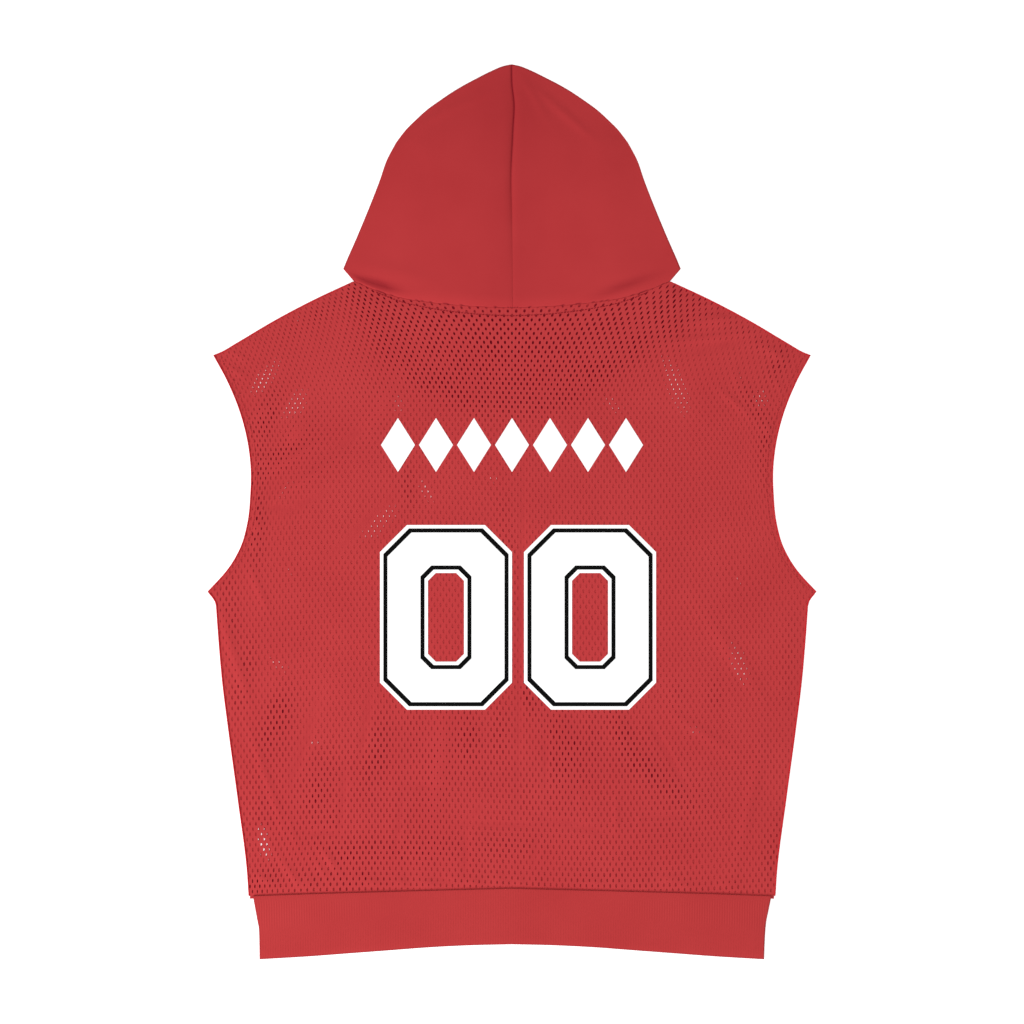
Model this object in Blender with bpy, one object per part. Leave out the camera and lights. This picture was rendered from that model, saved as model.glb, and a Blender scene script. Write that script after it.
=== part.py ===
"""A sleeveless hoodie lying flat on its front, for Blender 4.5. Metres, +Z up.

+X runs across the garment and +Y up it, from the hem to the hood. The origin is on the surface that
the cloth rests on, under the middle of the outline. The body is two panels of open mesh cloth, the
hood two halves of jersey, each folded round its side, and the hem a flattened tube of doubled knit.
The tables are in millimetres: heights are above the lowest corners of the hem, widths are from the
centre line, and both sides are alike.
"""

from math import pi, radians

import bmesh
import bpy
import numpy as np

MM = 0.001

# Driving dimensions, in millimetres
LENGTH = 894.5  # lowest corners of the hem to the peak of the hood
SEAM_GAP = 0.3  # between pieces that are sewn together, and between layers that touch
MESH_WALL = 1.0
TURNED_EDGE = 0.5  # what the turned armhole edge adds to the mesh wall
TURNED_WIDTH = 9.0
HOOD_WALL = 1.2
BAND_WALL = 1.5
SHOULDER_TIP = (298.8, 604.1)  # half width, height
NECK_POINT = (158.4, 678.0)  # where the shoulder seam meets the hood
FRONT_NECK = 559.0  # height of the front neckline at the centre
NECKLINE_POWER = 1.35  # 1 is a V with straight sides, 2 a round scoop
HOOD_CORNER = (168.7, 690.0)  # the hood bulges out past its neck seam
HOOD_KINK = (116.0, 816.0)  # where the side of the hood turns into its top
HOOD_CORNER_ROW = 0.05  # share of the hood's rows below that corner
BODY_LOFT = 1.3  # how far the middle of the back rises off the front
HOOD_LOFT = 1.4
HEM_LIFT = 0.8  # the seam's allowance props the mesh up beside the band
PUCKERS = 13  # small gathers along the band, of uneven width
PUCKER_RISE = 0.45
PUCKER_LENGTH = 26.0  # how far up they reach
HOOD_ACROSS, HOOD_UP = 150.0, 200.0  # middling width and height of a half of the hood
BEND = (1.4, 0.4, 0.0)  # distances in from a fold where its round edge has a row of points

# How far in from an edge of the cloth its loft comes up to full height
PANEL_SIDE_RISE, PANEL_LOW_RISE, PANEL_TOP_RISE = 70.0, 45.0, 55.0
HOOD_FOLD_RISE, HOOD_NECK_RISE = 60.0, 34.0

# Side seam, from the band up to the underarm
SIDE = (
    # height, half_width
    (63.3, 263.4),
    (87, 265.0),
    (159, 274.2),
    (231, 284.0),
    (279, 290.0),
    (315, 293.2),
    (356, 296.2),
)

# The seam's pointed end under the arm
UNDERARM = (
    # height, half_width
    (356, 296.2),
    (361, 299.0),
    (367.3, 304.4),
)

ARMHOLE = (
    # height, half_width
    (367.3, 304.4),
    (375, 297.0),
    (387, 286.3),
    (411, 271.8),
    (435, 264.8),
    (465, 261.6),
    (483, 261.0),
    (507, 262.8),
    (543, 270.8),
    (579, 285.2),
    (604.1, 298.8),
)

SHOULDER = (
    # half_width, height
    (158.4, 678.0),
    (199, 659.0),
    (236, 639.5),
    (277, 615.2),
    (290, 607.6),
    (298.8, 604.1),
)

BACK_NECK = (
    # half_width, height
    (0, 651.2),
    (40, 652.8),
    (80, 656.4),
    (110, 661.0),
    (135, 668.3),
    (158.4, 678.0),
)

BAND_SEAM = (
    # half_width, height
    (0, 71.0),
    (70, 69.2),
    (140, 67.3),
    (200, 65.6),
    (263.4, 63.3),
)

BAND_SIDE = (
    # height, half_width
    (0, 252.4),
    (19, 252.9),
    (31.6, 253.5),
    (47.5, 256.4),
    (63.3, 259.4),
)

HEM = (
    # half_width, height
    (0, 15.0),
    (42, 14.0),
    (82, 12.0),
    (122, 9.0),
    (162, 6.0),
    (202, 3.0),
    (252.4, 0.0),
)

HOOD_SIDE = (
    # height, half_width
    (690, 168.7),
    (699, 165.0),
    (719, 156.2),
    (739, 147.8),
    (779, 132.0),
    (799, 125.0),
    (816, 116.0),
)

HOOD_TOP = (
    # half_width, height
    (0, 894.5),
    (8, 892.8),
    (22, 887.0),
    (34, 881.0),
    (56, 869.0),
    (74, 857.0),
    (85, 849.0),
    (96, 839.0),
    (106, 829.0),
    (116, 816.0),
)

# Inner edge of each half's front layer. Above and below the opening the two edges are sewn together.
FACE_OPENING = (
    # height, half_width
    (559, 0.0),
    (600, 0.0),
    (650, 0.0),
    (680, 34.0),
    (720, 56.0),
    (760, 48.0),
    (800, 27.0),
    (830, 9.0),
    (844, 0.0),
)

# Soft ridges, and troughs where the rise is negative. A lean turns the ridge's line from upright
# towards +X.
BODY_FOLDS = (
    # x, height, half_length, half_width, lean, rise
    (-238, 578, 42, 11, 48, 0.75),
    (-196, 548, 40, 12, 40, 0.60),
    (-226, 462, 60, 10, 62, -0.50),
    (-128, 555, 34, 14, 25, 0.50),
    (158, 578, 40, 11, -22, 0.75),
    (232, 560, 38, 12, -40, 0.50),
    (-30, 500, 46, 14, 10, 0.45),
    (-130, 432, 52, 13, -12, 0.50),
    (-205, 360, 46, 13, 30, 0.60),
    (222, 302, 44, 11, -38, 0.80),
    (182, 226, 36, 10, -62, 0.65),
    (90, 196, 74, 10, -48, -0.60),
    (-72, 190, 60, 13, 6, 0.55),
    (20, 180, 56, 12, 0, 0.50),
    (-176, 286, 60, 14, 16, 0.50),
    (-242, 128, 40, 11, -10, 0.60),
    (-186, 132, 48, 9, -34, -0.50),
    (236, 140, 56, 13, 14, 0.50),
    (140, 120, 40, 12, -20, 0.40),
)

HOOD_FOLDS = (
    # x, height, half_length, half_width, lean, rise
    (-128, 676, 34, 9, 84, -0.70),
    (-112, 694, 46, 13, 70, 0.70),
    (120, 676, 30, 9, -84, -0.45),
    (108, 696, 44, 13, -68, 0.50),
    (-66, 828, 34, 12, 42, 0.50),
    (62, 822, 44, 13, -30, -0.45),
    (52, 745, 60, 20, -12, 0.50),
    (-60, 748, 60, 20, 20, 0.45),
)

COLOURS = {
    # name: (red, green, blue), as seen
    "jersey": (178, 53, 56),
    "mesh": (191, 61, 63),
    "rib": (193, 61, 63),
}


def smooth(table, at):
    """Read a two-column table as a smooth curve through its rows."""
    known, value = np.array(table, float).T
    step = np.diff(known)
    slope = np.diff(value) / step
    inner = (slope[:-1] * step[1:] + slope[1:] * step[:-1]) / (step[:-1] + step[1:])
    tangent = np.concatenate([slope[:1], inner, slope[-1:]])
    at = np.clip(at, known[0], known[-1])
    i = np.clip(np.searchsorted(known, at, side="right") - 1, 0, len(step) - 1)
    t = (at - known[i]) / step[i]
    start = (1 + 2 * t) * (1 - t) ** 2 * value[i] + t * (1 - t) ** 2 * step[i] * tangent[i]
    end = t * t * (3 - 2 * t) * value[i + 1] - t * t * (1 - t) * step[i] * tangent[i + 1]
    return start + end


def ease(t):
    """0 below 0, 1 above 1, and a smooth rise between."""
    t = np.clip(t, 0, 1)
    return t * t * (3 - 2 * t)


def folds(table, x, height):
    """The rise of all the soft ridges and troughs at some points."""
    rise = np.zeros_like(x)
    for fold_x, fold_height, half_length, half_width, lean, most in table:
        angle = radians(lean)
        right, up = x - fold_x, height - fold_height
        along = right * np.sin(angle) + up * np.cos(angle)
        across = right * np.cos(angle) - up * np.sin(angle)
        rise += most * np.exp(-((along / half_length) ** 2) - (across / half_width) ** 2)
    return rise


def round_edge(distance, radius):
    """The height of a quarter round at a distance in from its edge."""
    return radius * np.sqrt(1 - (1 - np.clip(distance / radius, 0, 1)) ** 2)


def patch(bottom, top, left, right, u, v):
    """A grid of (x, height) between four border curves, one row for each v."""
    u, v = u[None, :, None], v[:, None, None]
    across = (1 - v) * bottom[None] + v * top[None]
    upward = (1 - u) * left[:, None] + u * right[:, None]
    low = (1 - u) * bottom[0] + u * bottom[-1]
    high = (1 - u) * top[0] + u * top[-1]
    return across + upward - (1 - v) * low - v * high


def placed(flat, z):
    """World points in metres, from a grid of (x, height) and its z, all in millimetres."""
    return np.dstack([flat[..., 0], flat[..., 1] - LENGTH / 2, z]) * MM


def add_grid(bm, points):
    """A sheet of quads through a grid of points."""
    verts = [[bm.verts.new(p) for p in row] for row in points]
    for low, high in zip(verts, verts[1:]):
        for i in range(len(low) - 1):
            bm.faces.new((low[i], low[i + 1], high[i + 1], high[i]))
    return np.array(verts, object)


def add_wall(bm, outer, inner, open_sides):
    """Two skins of a wall, closed by rims along its open sides."""
    skins = add_grid(bm, outer), add_grid(bm, inner)
    sides = {
        "bottom": np.s_[0, :],
        "top": np.s_[-1, :],
        "left": np.s_[:, 0],
        "right": np.s_[:, -1],
    }
    for side in open_sides:
        a, b = (skin[sides[side]] for skin in skins)
        for i in range(len(a) - 1):
            bm.faces.new((a[i], a[i + 1], b[i + 1], b[i]))


def add_object(name, bm, material):
    """Weld a piece's skins, face them out and put it in the scene."""
    bmesh.ops.remove_doubles(bm, verts=bm.verts, dist=0.01 * MM)
    bmesh.ops.recalc_face_normals(bm, faces=bm.faces)
    mesh = bpy.data.meshes.new(name)
    bm.to_mesh(mesh)
    bm.free()
    mesh.shade_smooth()
    mesh.set_sharp_from_angle(angle=radians(40))
    mesh.materials.append(material)
    piece = bpy.data.objects.new(name, mesh)
    bpy.context.collection.objects.link(piece)
    return piece


def cloth(name, roughness):
    """A cloth material in one of the garment's reds."""
    material = bpy.data.materials.new(name)
    material.use_nodes = True
    shader = material.node_tree.nodes["Principled BSDF"]
    seen = np.array(COLOURS[name]) / 255
    linear = np.where(seen < 0.04, seen / 12.9, ((seen + 0.055) / 1.055) ** 2.4)
    shader.inputs["Base Color"].default_value = (*linear, 1)
    shader.inputs["Roughness"].default_value = roughness
    return material


def panel_edge(height):
    """Half width of the body panels at a height on their side."""
    on_side, on_tip = height <= SIDE[-1][0], height <= UNDERARM[-1][0]
    tip_heights, tip_widths = np.array(UNDERARM).T
    tip = np.interp(height, tip_heights, tip_widths)
    return np.where(on_side, smooth(SIDE, height), np.where(on_tip, tip, smooth(ARMHOLE, height)))


def panel_rows():
    """Heights of the panels' rows on their side, close together where the outline turns."""
    above_band = np.array([63.3, 69, 77, 89, 107])
    side = np.linspace(134, SIDE[-1][0], 8)
    armhole = np.linspace(UNDERARM[-1][0], SHOULDER_TIP[1], 13)
    return np.concatenate([above_band, side, [UNDERARM[1][0]], armhole])


def panel_columns():
    """Columns from the left edge to the right, as shares of the half width."""
    neck = NECK_POINT[0] / SHOULDER_TIP[0]
    turned = TURNED_WIDTH / SHOULDER_TIP[0]
    middle = np.linspace(0, neck, 14)
    shoulder = np.linspace(neck, 1 - 1.35 * turned, 11)[1:]
    right = np.concatenate([middle, shoulder, [1 - turned, 1]])
    return np.concatenate([-right[:0:-1], right])


def back_grid():
    """The back panel's grid of (x, height), its shares across, and the heights of its two ends."""
    share, rows = panel_columns(), panel_rows()
    v = (rows - rows[0]) / (rows[-1] - rows[0])
    low_x, high_x = share * SIDE[0][1], share * SHOULDER_TIP[0]
    under_neck = abs(high_x) < NECK_POINT[0]
    top = np.where(under_neck, smooth(BACK_NECK, abs(high_x)), smooth(SHOULDER, abs(high_x))) - SEAM_GAP
    bottom = smooth(BAND_SEAM, abs(low_x))
    side = np.stack([panel_edge(rows), rows], 1)
    side[-1] = high_x[-1], top[-1]
    low, high = np.stack([low_x, bottom], 1), np.stack([high_x, top], 1)
    flat = patch(low, high, side * (-1, 1), side, (share + 1) / 2, v)
    return flat, share, bottom, top


def back_panel(material):
    """The back of the body: it rests on the front and rises a little off it in soft folds."""
    flat, share, bottom, top = back_grid()
    x, height = flat[..., 0], flat[..., 1]
    from_side = (1 - abs(share)) * SHOULDER_TIP[0]
    from_band = height - bottom
    from_top = top - height
    inside = ease(from_side / PANEL_SIDE_RISE) * ease(from_band / PANEL_LOW_RISE)
    inside = inside * ease(from_top / PANEL_TOP_RISE)
    over_hood = ease((HOOD_CORNER[0] + 6 - abs(x)) / 15) * (1 - ease(from_top / 140))
    under = MESH_WALL + SEAM_GAP + inside * BODY_LOFT
    under += over_hood * (HOOD_WALL - MESH_WALL)
    under += HEM_LIFT * (1 - ease(from_band / 30))
    under += folds(BODY_FOLDS, x, height) * ease(from_side / 30) * ease(from_band / 20)
    across = x / SIDE[0][1] + 0.12 * np.sin(x / 61)
    fading = ease(from_band / 7) * np.exp(-from_band / PUCKER_LENGTH)
    under += PUCKER_RISE * np.sin(pi * PUCKERS * across) * fading
    turned = (from_side < 1.1 * TURNED_WIDTH) & (height > UNDERARM[1][0])
    over = under + MESH_WALL + TURNED_EDGE * turned
    bm = bmesh.new()
    add_wall(bm, placed(flat, over), placed(flat, under), ("bottom", "top", "left", "right"))
    return add_object("back_panel", bm, material)


def front_panel(material):
    """The front of the body, flat on the surface, with a deep round neckline."""
    columns, rows = panel_columns(), panel_rows()
    low_x = columns[columns >= 0] * SIDE[0][1]
    high_x = columns[columns > 0] * SHOULDER_TIP[0]
    high_x = high_x[(high_x > NECK_POINT[0] + 1) & (high_x < SHOULDER_TIP[0])][::-1]
    band = np.stack([low_x, smooth(BAND_SEAM, low_x)], 1)
    edge = np.stack([panel_edge(rows), rows], 1)[1:]
    shoulder = np.stack([high_x, smooth(SHOULDER, high_x) - SEAM_GAP], 1)
    across = hood_columns()[::-1]
    neck = front_neck(across) + np.stack([across * SEAM_GAP, 0 * across - SEAM_GAP], 1)
    right = np.concatenate([band, edge, shoulder, neck])
    left = right[-2:0:-1] * (-1, 1)
    outline = np.concatenate([right, left])[None]
    bm = bmesh.new()
    low = [bm.verts.new(p) for p in placed(outline, np.zeros(outline.shape[:2]))[0]]
    sheet = bm.faces.new(low)
    raised = bmesh.ops.extrude_face_region(bm, geom=[sheet])
    top = [v for v in raised["geom"] if isinstance(v, bmesh.types.BMVert)]
    bmesh.ops.translate(bm, verts=top, vec=(0, 0, MESH_WALL * MM))
    return add_object("front_panel", bm, material)


def hood_columns():
    """Columns of a hood half from the centre seam to its side, as shares, close together at the fold."""
    seam = 4.5 / HOOD_ACROSS
    return np.concatenate([[0, seam], np.linspace(0, 1, 12)[1:-1], 1 - np.array(BEND) / HOOD_ACROSS])


def hood_rows():
    """Rows of a hood half from the neck to its top, with one at its widest corner."""
    return np.concatenate([[0, HOOD_CORNER_ROW], np.linspace(0.12, 0.94, 11), 1 - np.array(BEND) / HOOD_UP])


def front_neck(share):
    """The deep front neckline, from the centre to the neck point."""
    depth = NECK_POINT[1] - FRONT_NECK
    return np.stack([NECK_POINT[0] * share, FRONT_NECK + depth * share**NECKLINE_POWER], 1)


def hood_layer(folded_under):
    """One layer of the right half of the hood as a grid of (x, height)."""
    u, v = hood_columns(), hood_rows()
    centre = SEAM_GAP / 2
    top_x = centre + u * (HOOD_KINK[0] - centre)
    top = np.stack([top_x, smooth(HOOD_TOP, top_x)], 1)
    past = np.clip((v - HOOD_CORNER_ROW) / (1 - HOOD_CORNER_ROW), 0, 1)
    height = HOOD_CORNER[1] + past * (HOOD_KINK[1] - HOOD_CORNER[1])
    side = np.stack([smooth(HOOD_SIDE, height), height], 1)
    side[0] = NECK_POINT
    if folded_under:
        bottom = front_neck(u)
        inner_height = FRONT_NECK + v * (LENGTH - FRONT_NECK)
        inner_x = np.maximum(smooth(FACE_OPENING, inner_height), 0)
    else:
        bottom_x = u * NECK_POINT[0]
        bottom = np.stack([bottom_x, smooth(BACK_NECK, bottom_x)], 1)
        inner_height = bottom[0, 1] + v * (LENGTH - bottom[0, 1])
        inner_x = np.zeros_like(v)
    inner = np.stack([inner_x + centre, inner_height], 1)
    bottom[0] = inner[0]
    top[0] = inner[-1]
    return patch(bottom, top, inner, side, u, v)


def hood_half(name, mirror, material):
    """Half of the hood: one sheet, folded under along its side and its top."""
    u, v = hood_columns(), hood_rows()
    from_fold = np.minimum((1 - u[None]) * HOOD_ACROSS, (1 - v[:, None]) * HOOD_UP)
    middle = HOOD_WALL + SEAM_GAP / 2
    inset = np.dstack(np.broadcast_arrays(HOOD_WALL * u[None], HOOD_WALL * v[:, None]))
    bm = bmesh.new()
    for folded_under in (False, True):
        outer = hood_layer(folded_under)
        skins = []
        for flat, half_gap in ((outer, middle), (outer - inset, SEAM_GAP / 2)):
            bend = round_edge(from_fold, half_gap)
            if folded_under:
                z = middle - bend
            else:
                z = middle + bend + hood_rise(flat * (mirror, 1), from_fold)
            skins.append(placed(flat * (mirror, 1), z))
        add_wall(bm, *skins, ("bottom", "left"))
    return add_object(name, bm, material)


def hood_rise(flat, from_fold):
    """How far the hood's upper layer stands off the lower one."""
    x, height = flat[..., 0], flat[..., 1]
    from_neck = height - smooth(BACK_NECK, abs(x))
    inside = ease(from_fold / HOOD_FOLD_RISE) * ease(from_neck / HOOD_NECK_RISE)
    seam_dip = 1 - 0.4 * np.exp(-abs(x) / 4)
    soft = folds(HOOD_FOLDS, x, height) * ease(from_fold / 26) * ease(from_neck / 12)
    return np.maximum(inside * HOOD_LOFT * seam_dip + soft, 0)


def hem_band(material):
    """The band: a tube of doubled knit, flattened, with a fold at each side."""
    middle = BAND_WALL + SEAM_GAP / 2
    right = np.concatenate([np.linspace(0, 0.97, 14), 1 - np.array(BEND) / BAND_SIDE[0][1]])
    share = np.concatenate([-right[:0:-1], right])
    rows, widths = np.array(BAND_SIDE).T
    low_x, high_x = share * widths[0], share * widths[-1]
    top = np.stack([high_x, smooth(BAND_SEAM, abs(high_x)) - SEAM_GAP], 1)
    side = np.stack([widths, rows], 1)
    side[-1] = top[-1]
    low = np.stack([low_x, smooth(HEM, abs(low_x))], 1)
    outer = patch(low, top, side * (-1, 1), side, (share + 1) / 2, rows / rows[-1])
    inset = np.dstack(np.broadcast_arrays(BAND_WALL * share[None], np.zeros((len(rows), 1))))
    from_fold = (1 - abs(share[None])) * widths[0] + np.zeros((len(rows), 1))
    bm = bmesh.new()
    for way in (1, -1):
        skins = []
        for flat, half_gap in ((outer, middle), (outer - inset, SEAM_GAP / 2)):
            skins.append(placed(flat, middle + way * round_edge(from_fold, half_gap)))
        add_wall(bm, *skins, ("bottom", "top"))
    return add_object("hem_band", bm, material)


def clear_scene():
    for old in list(bpy.data.objects):
        bpy.data.objects.remove(old, do_unlink=True)


def main():
    clear_scene()
    mesh_cloth = cloth("mesh", 0.75)
    jersey = cloth("jersey", 0.8)
    rib = cloth("rib", 0.85)
    front_panel(mesh_cloth)
    back_panel(mesh_cloth)
    hood_half("hood_left", -1, jersey)
    hood_half("hood_right", 1, jersey)
    hem_band(rib)


main()
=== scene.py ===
# %% [markdown]
# # A sleeveless hoodie, laid flat on its front
#
# The garment has a body of open mesh cloth, a hood of plain jersey and a knitted band at the hem. It lies
# on a white surface with its back up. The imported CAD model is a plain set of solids. This lesson dresses
# it: every cloth piece is remade as thin cloth on the same form, with its holes, ribs, seams and creases.
# All the sizes are real. The tables are in millimetres, and `placed` turns them into Blender's metres.

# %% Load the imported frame
from math import pi, radians, sqrt

import bmesh
import bpy
import numpy as np
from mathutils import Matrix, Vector


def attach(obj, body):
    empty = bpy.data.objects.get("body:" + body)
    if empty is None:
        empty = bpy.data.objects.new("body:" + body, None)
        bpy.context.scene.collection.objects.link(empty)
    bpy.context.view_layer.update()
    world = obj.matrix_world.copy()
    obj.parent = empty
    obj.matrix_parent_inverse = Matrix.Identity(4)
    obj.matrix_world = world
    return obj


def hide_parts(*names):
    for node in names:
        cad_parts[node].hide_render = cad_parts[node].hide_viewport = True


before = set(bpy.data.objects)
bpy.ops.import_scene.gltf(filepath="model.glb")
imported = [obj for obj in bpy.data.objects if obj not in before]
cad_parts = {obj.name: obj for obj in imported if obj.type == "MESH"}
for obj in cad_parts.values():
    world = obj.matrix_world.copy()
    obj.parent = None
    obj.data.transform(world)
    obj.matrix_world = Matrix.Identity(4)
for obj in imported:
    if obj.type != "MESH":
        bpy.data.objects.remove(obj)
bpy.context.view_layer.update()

MM = 0.001
print("CAD nodes:", sorted(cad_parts))

# %% [markdown]
# ## The pattern in numbers
#
# A pattern maker keeps an outline as a few measured points and lets a curve run smoothly through them.
# The same short tables that shaped the CAD solids are repeated here, so that the cloth lies exactly where
# its solid lies. Both sides of the garment are alike, so each table holds the right half only. Heights
# are above the lowest corners of the hem.

# %% Outline tables
LENGTH = 894.5
SHOULDER_TIP = (298.8, 604.1)
NECK_POINT = (158.4, 678.0)
FRONT_NECK = 559.0
NECKLINE_POWER = 1.35
HOOD_CORNER = (168.7, 690.0)
HOOD_KINK = (116.0, 816.0)
HOOD_CORNER_ROW = 0.05

SIDE = (
    # height, half_width
    (63.3, 263.4), (87, 265.0), (159, 274.2), (231, 284.0), (279, 290.0), (315, 293.2), (356, 296.2),
)
UNDERARM = ((356, 296.2), (361, 299.0), (367.3, 304.4))
ARMHOLE = (
    # height, half_width
    (367.3, 304.4), (375, 297.0), (387, 286.3), (411, 271.8), (435, 264.8), (465, 261.6),
    (483, 261.0), (507, 262.8), (543, 270.8), (579, 285.2), (604.1, 298.8),
)
SHOULDER = (
    # half_width, height
    (158.4, 678.0), (199, 659.0), (236, 639.5), (277, 615.2), (290, 607.6), (298.8, 604.1),
)
BACK_NECK = (
    # half_width, height
    (0, 651.2), (40, 652.8), (80, 656.4), (110, 661.0), (135, 668.3), (158.4, 678.0),
)
BAND_SEAM = (
    # half_width, height
    (0, 71.0), (70, 69.2), (140, 67.3), (200, 65.6), (263.4, 63.3),
)
BAND_SIDE = ((0, 252.4), (19, 252.9), (31.6, 253.5), (47.5, 256.4), (63.3, 259.4))
HEM = (
    # half_width, height
    (0, 15.0), (42, 14.0), (82, 12.0), (122, 9.0), (162, 6.0), (202, 3.0), (252.4, 0.0),
)
HOOD_SIDE = (
    # height, half_width
    (690, 168.7), (699, 165.0), (719, 156.2), (739, 147.8), (779, 132.0), (799, 125.0), (816, 116.0),
)
HOOD_TOP = (
    # half_width, height
    (0, 894.5), (8, 892.8), (22, 887.0), (34, 881.0), (56, 869.0), (74, 857.0), (85, 849.0),
    (96, 839.0), (106, 829.0), (116, 816.0),
)
FACE_OPENING = (
    # height, half_width
    (559, 0.0), (600, 0.0), (650, 0.0), (680, 34.0), (720, 56.0), (760, 48.0), (800, 27.0),
    (830, 9.0), (844, 0.0),
)
print("Outline tables:", len(SIDE) + len(ARMHOLE) + len(SHOULDER), "points on each side of the body")

# %% [markdown]
# ## Curves, patches and folds
#
# `smooth` reads a table as a curve with no kinks. `patch` fills the space between four border curves with
# a grid, which is how a flat pattern piece is turned into rows and columns. `soft_folds` adds up gentle
# ridges and troughs: each one is a stretched bell shape with its own place, length, width and lean, so no
# two creases are alike. Placing them one by one gives more control than a cloth simulation would here,
# because the garment lies almost perfectly flat.

# %% Shape helpers
def smooth(table, at):
    """Read a two-column table as a smooth curve through its rows."""
    known, value = np.array(table, float).T
    step = np.diff(known)
    slope = np.diff(value) / step
    inner = (slope[:-1] * step[1:] + slope[1:] * step[:-1]) / (step[:-1] + step[1:])
    tangent = np.concatenate([slope[:1], inner, slope[-1:]])
    at = np.clip(at, known[0], known[-1])
    i = np.clip(np.searchsorted(known, at, side="right") - 1, 0, len(step) - 1)
    t = (at - known[i]) / step[i]
    start = (1 + 2 * t) * (1 - t) ** 2 * value[i] + t * (1 - t) ** 2 * step[i] * tangent[i]
    end = t * t * (3 - 2 * t) * value[i + 1] - t * t * (1 - t) * step[i] * tangent[i + 1]
    return start + end


def ease(t):
    """0 below 0, 1 above 1, and a smooth rise between."""
    t = np.clip(t, 0, 1)
    return t * t * (3 - 2 * t)


def bell(distance, width):
    """1 at no distance, fading smoothly to nothing past the width."""
    return np.exp(-((distance / width) ** 2))


def soft_folds(table, x, height):
    """The rise of all the soft ridges and troughs of a table at some points."""
    rise = np.zeros_like(x)
    for fold_x, fold_height, half_length, half_width, lean, most in table:
        angle = radians(lean)
        right = x - fold_x
        up = height - fold_height
        along = right * np.sin(angle) + up * np.cos(angle)
        across = right * np.cos(angle) - up * np.sin(angle)
        rise += most * bell(along, half_length) * bell(across, half_width)
    return rise


def round_edge(distance, radius):
    """The height of a quarter round at a distance in from its edge."""
    return radius * np.sqrt(1 - (1 - np.clip(distance / radius, 0, 1)) ** 2)


def patch(bottom, top, left, right, u, v):
    """A grid of (x, height) between four border curves, one row for each v."""
    u, v = u[None, :, None], v[:, None, None]
    across = (1 - v) * bottom[None] + v * top[None]
    upward = (1 - u) * left[:, None] + u * right[:, None]
    low = (1 - u) * bottom[0] + u * bottom[-1]
    high = (1 - u) * top[0] + u * top[-1]
    return across + upward - (1 - v) * low - v * high


def points_at(x, height):
    """Points of (x, height) from their two parts."""
    return np.stack(np.broadcast_arrays(x, height), axis=-1)


def split(flat):
    """The x and the height of some points."""
    return flat[..., 0], flat[..., 1]


def placed(flat, z):
    """World points in metres, from (x, height) and z in millimetres."""
    x, height, z = np.broadcast_arrays(*split(flat), z)
    return np.stack([x, height - LENGTH / 2, z], axis=-1) * MM


print("The side is", round(float(smooth(SIDE, 200.0)), 1), "mm from the middle at a height of 200 mm")

# %% [markdown]
# ## Meshes and pieces
#
# Each piece is one object at the origin, unturned and unscaled, with its place in its mesh. A grid of
# points becomes quads, and a value for each point, such as how close it is to a fold, is stored as an
# attribute that the material can read later.

# %% Mesh helpers
def grid_faces(rows, columns, closed=False, first=0):
    """Quads of a grid of points, counted row by row, facing up. A closed one joins its last column."""
    number = first + np.arange(rows * columns).reshape(rows, columns)
    if closed:
        number = np.concatenate([number, number[:, :1]], axis=1)
    low, high = number[:-1], number[1:]
    quads = np.stack([low[:, :-1], low[:, 1:], high[:, 1:], high[:, :-1]], axis=-1)
    return quads.reshape(-1, 4).tolist()


def new_object(name, data):
    """A new object at the origin, linked to the scene."""
    made = bpy.data.objects.new(name, data)
    bpy.context.collection.objects.link(made)
    return made


def make_piece(name, points, faces, material=None, edges=(), **attributes):
    """An object from world points, with a named value for each point."""
    mesh = bpy.data.meshes.new(name)
    mesh.from_pydata(points.reshape(-1, 3).tolist(), edges, faces)
    for label, value in attributes.items():
        values = np.asarray(value, float)
        is_place = values.size == points.size
        layer = mesh.attributes.new(label, "FLOAT_VECTOR" if is_place else "FLOAT", "POINT")
        layer.data.foreach_set("vector" if is_place else "value", values.ravel())
    mesh.shade_smooth()
    if material:
        mesh.materials.append(material)
    return new_object(name, mesh)


print("Quads in a grid of 3 by 4 points:", len(grid_faces(3, 4)))

# %% Finishing helpers
def plain_mesh(piece):
    """A piece's mesh as its modifiers leave it."""
    graph = bpy.context.evaluated_depsgraph_get()
    return bpy.data.meshes.new_from_object(piece.evaluated_get(graph))


def thicken(piece, wall):
    """Give a sheet a wall behind its face, in millimetres, as plain mesh."""
    solid = piece.modifiers.new("wall", "SOLIDIFY")
    solid.thickness = wall * MM
    solid.offset = -1
    thin = piece.data
    piece.data = plain_mesh(piece)
    piece.modifiers.clear()
    bpy.data.meshes.remove(thin)
    return piece


def turn_faces(piece, upwards=False):
    """Merge a piece's doubled points and turn its faces outwards, or a sheet's upwards."""
    bm = bmesh.new()
    bm.from_mesh(piece.data)
    bmesh.ops.remove_doubles(bm, verts=bm.verts, dist=0.01 * MM)
    bmesh.ops.recalc_face_normals(bm, faces=bm.faces)
    if upwards and sum(face.normal.z for face in bm.faces) < 0:
        bmesh.ops.reverse_faces(bm, faces=bm.faces)
    bm.to_mesh(piece.data)
    bm.free()
    return piece


def triangles(*pieces):
    """How many triangles some pieces have together."""
    return sum(len(face.vertices) - 2 for piece in pieces for face in piece.data.polygons)


print("Finishing helpers:", [helper.__name__ for helper in (plain_mesh, thicken, turn_faces, triangles)])
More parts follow.
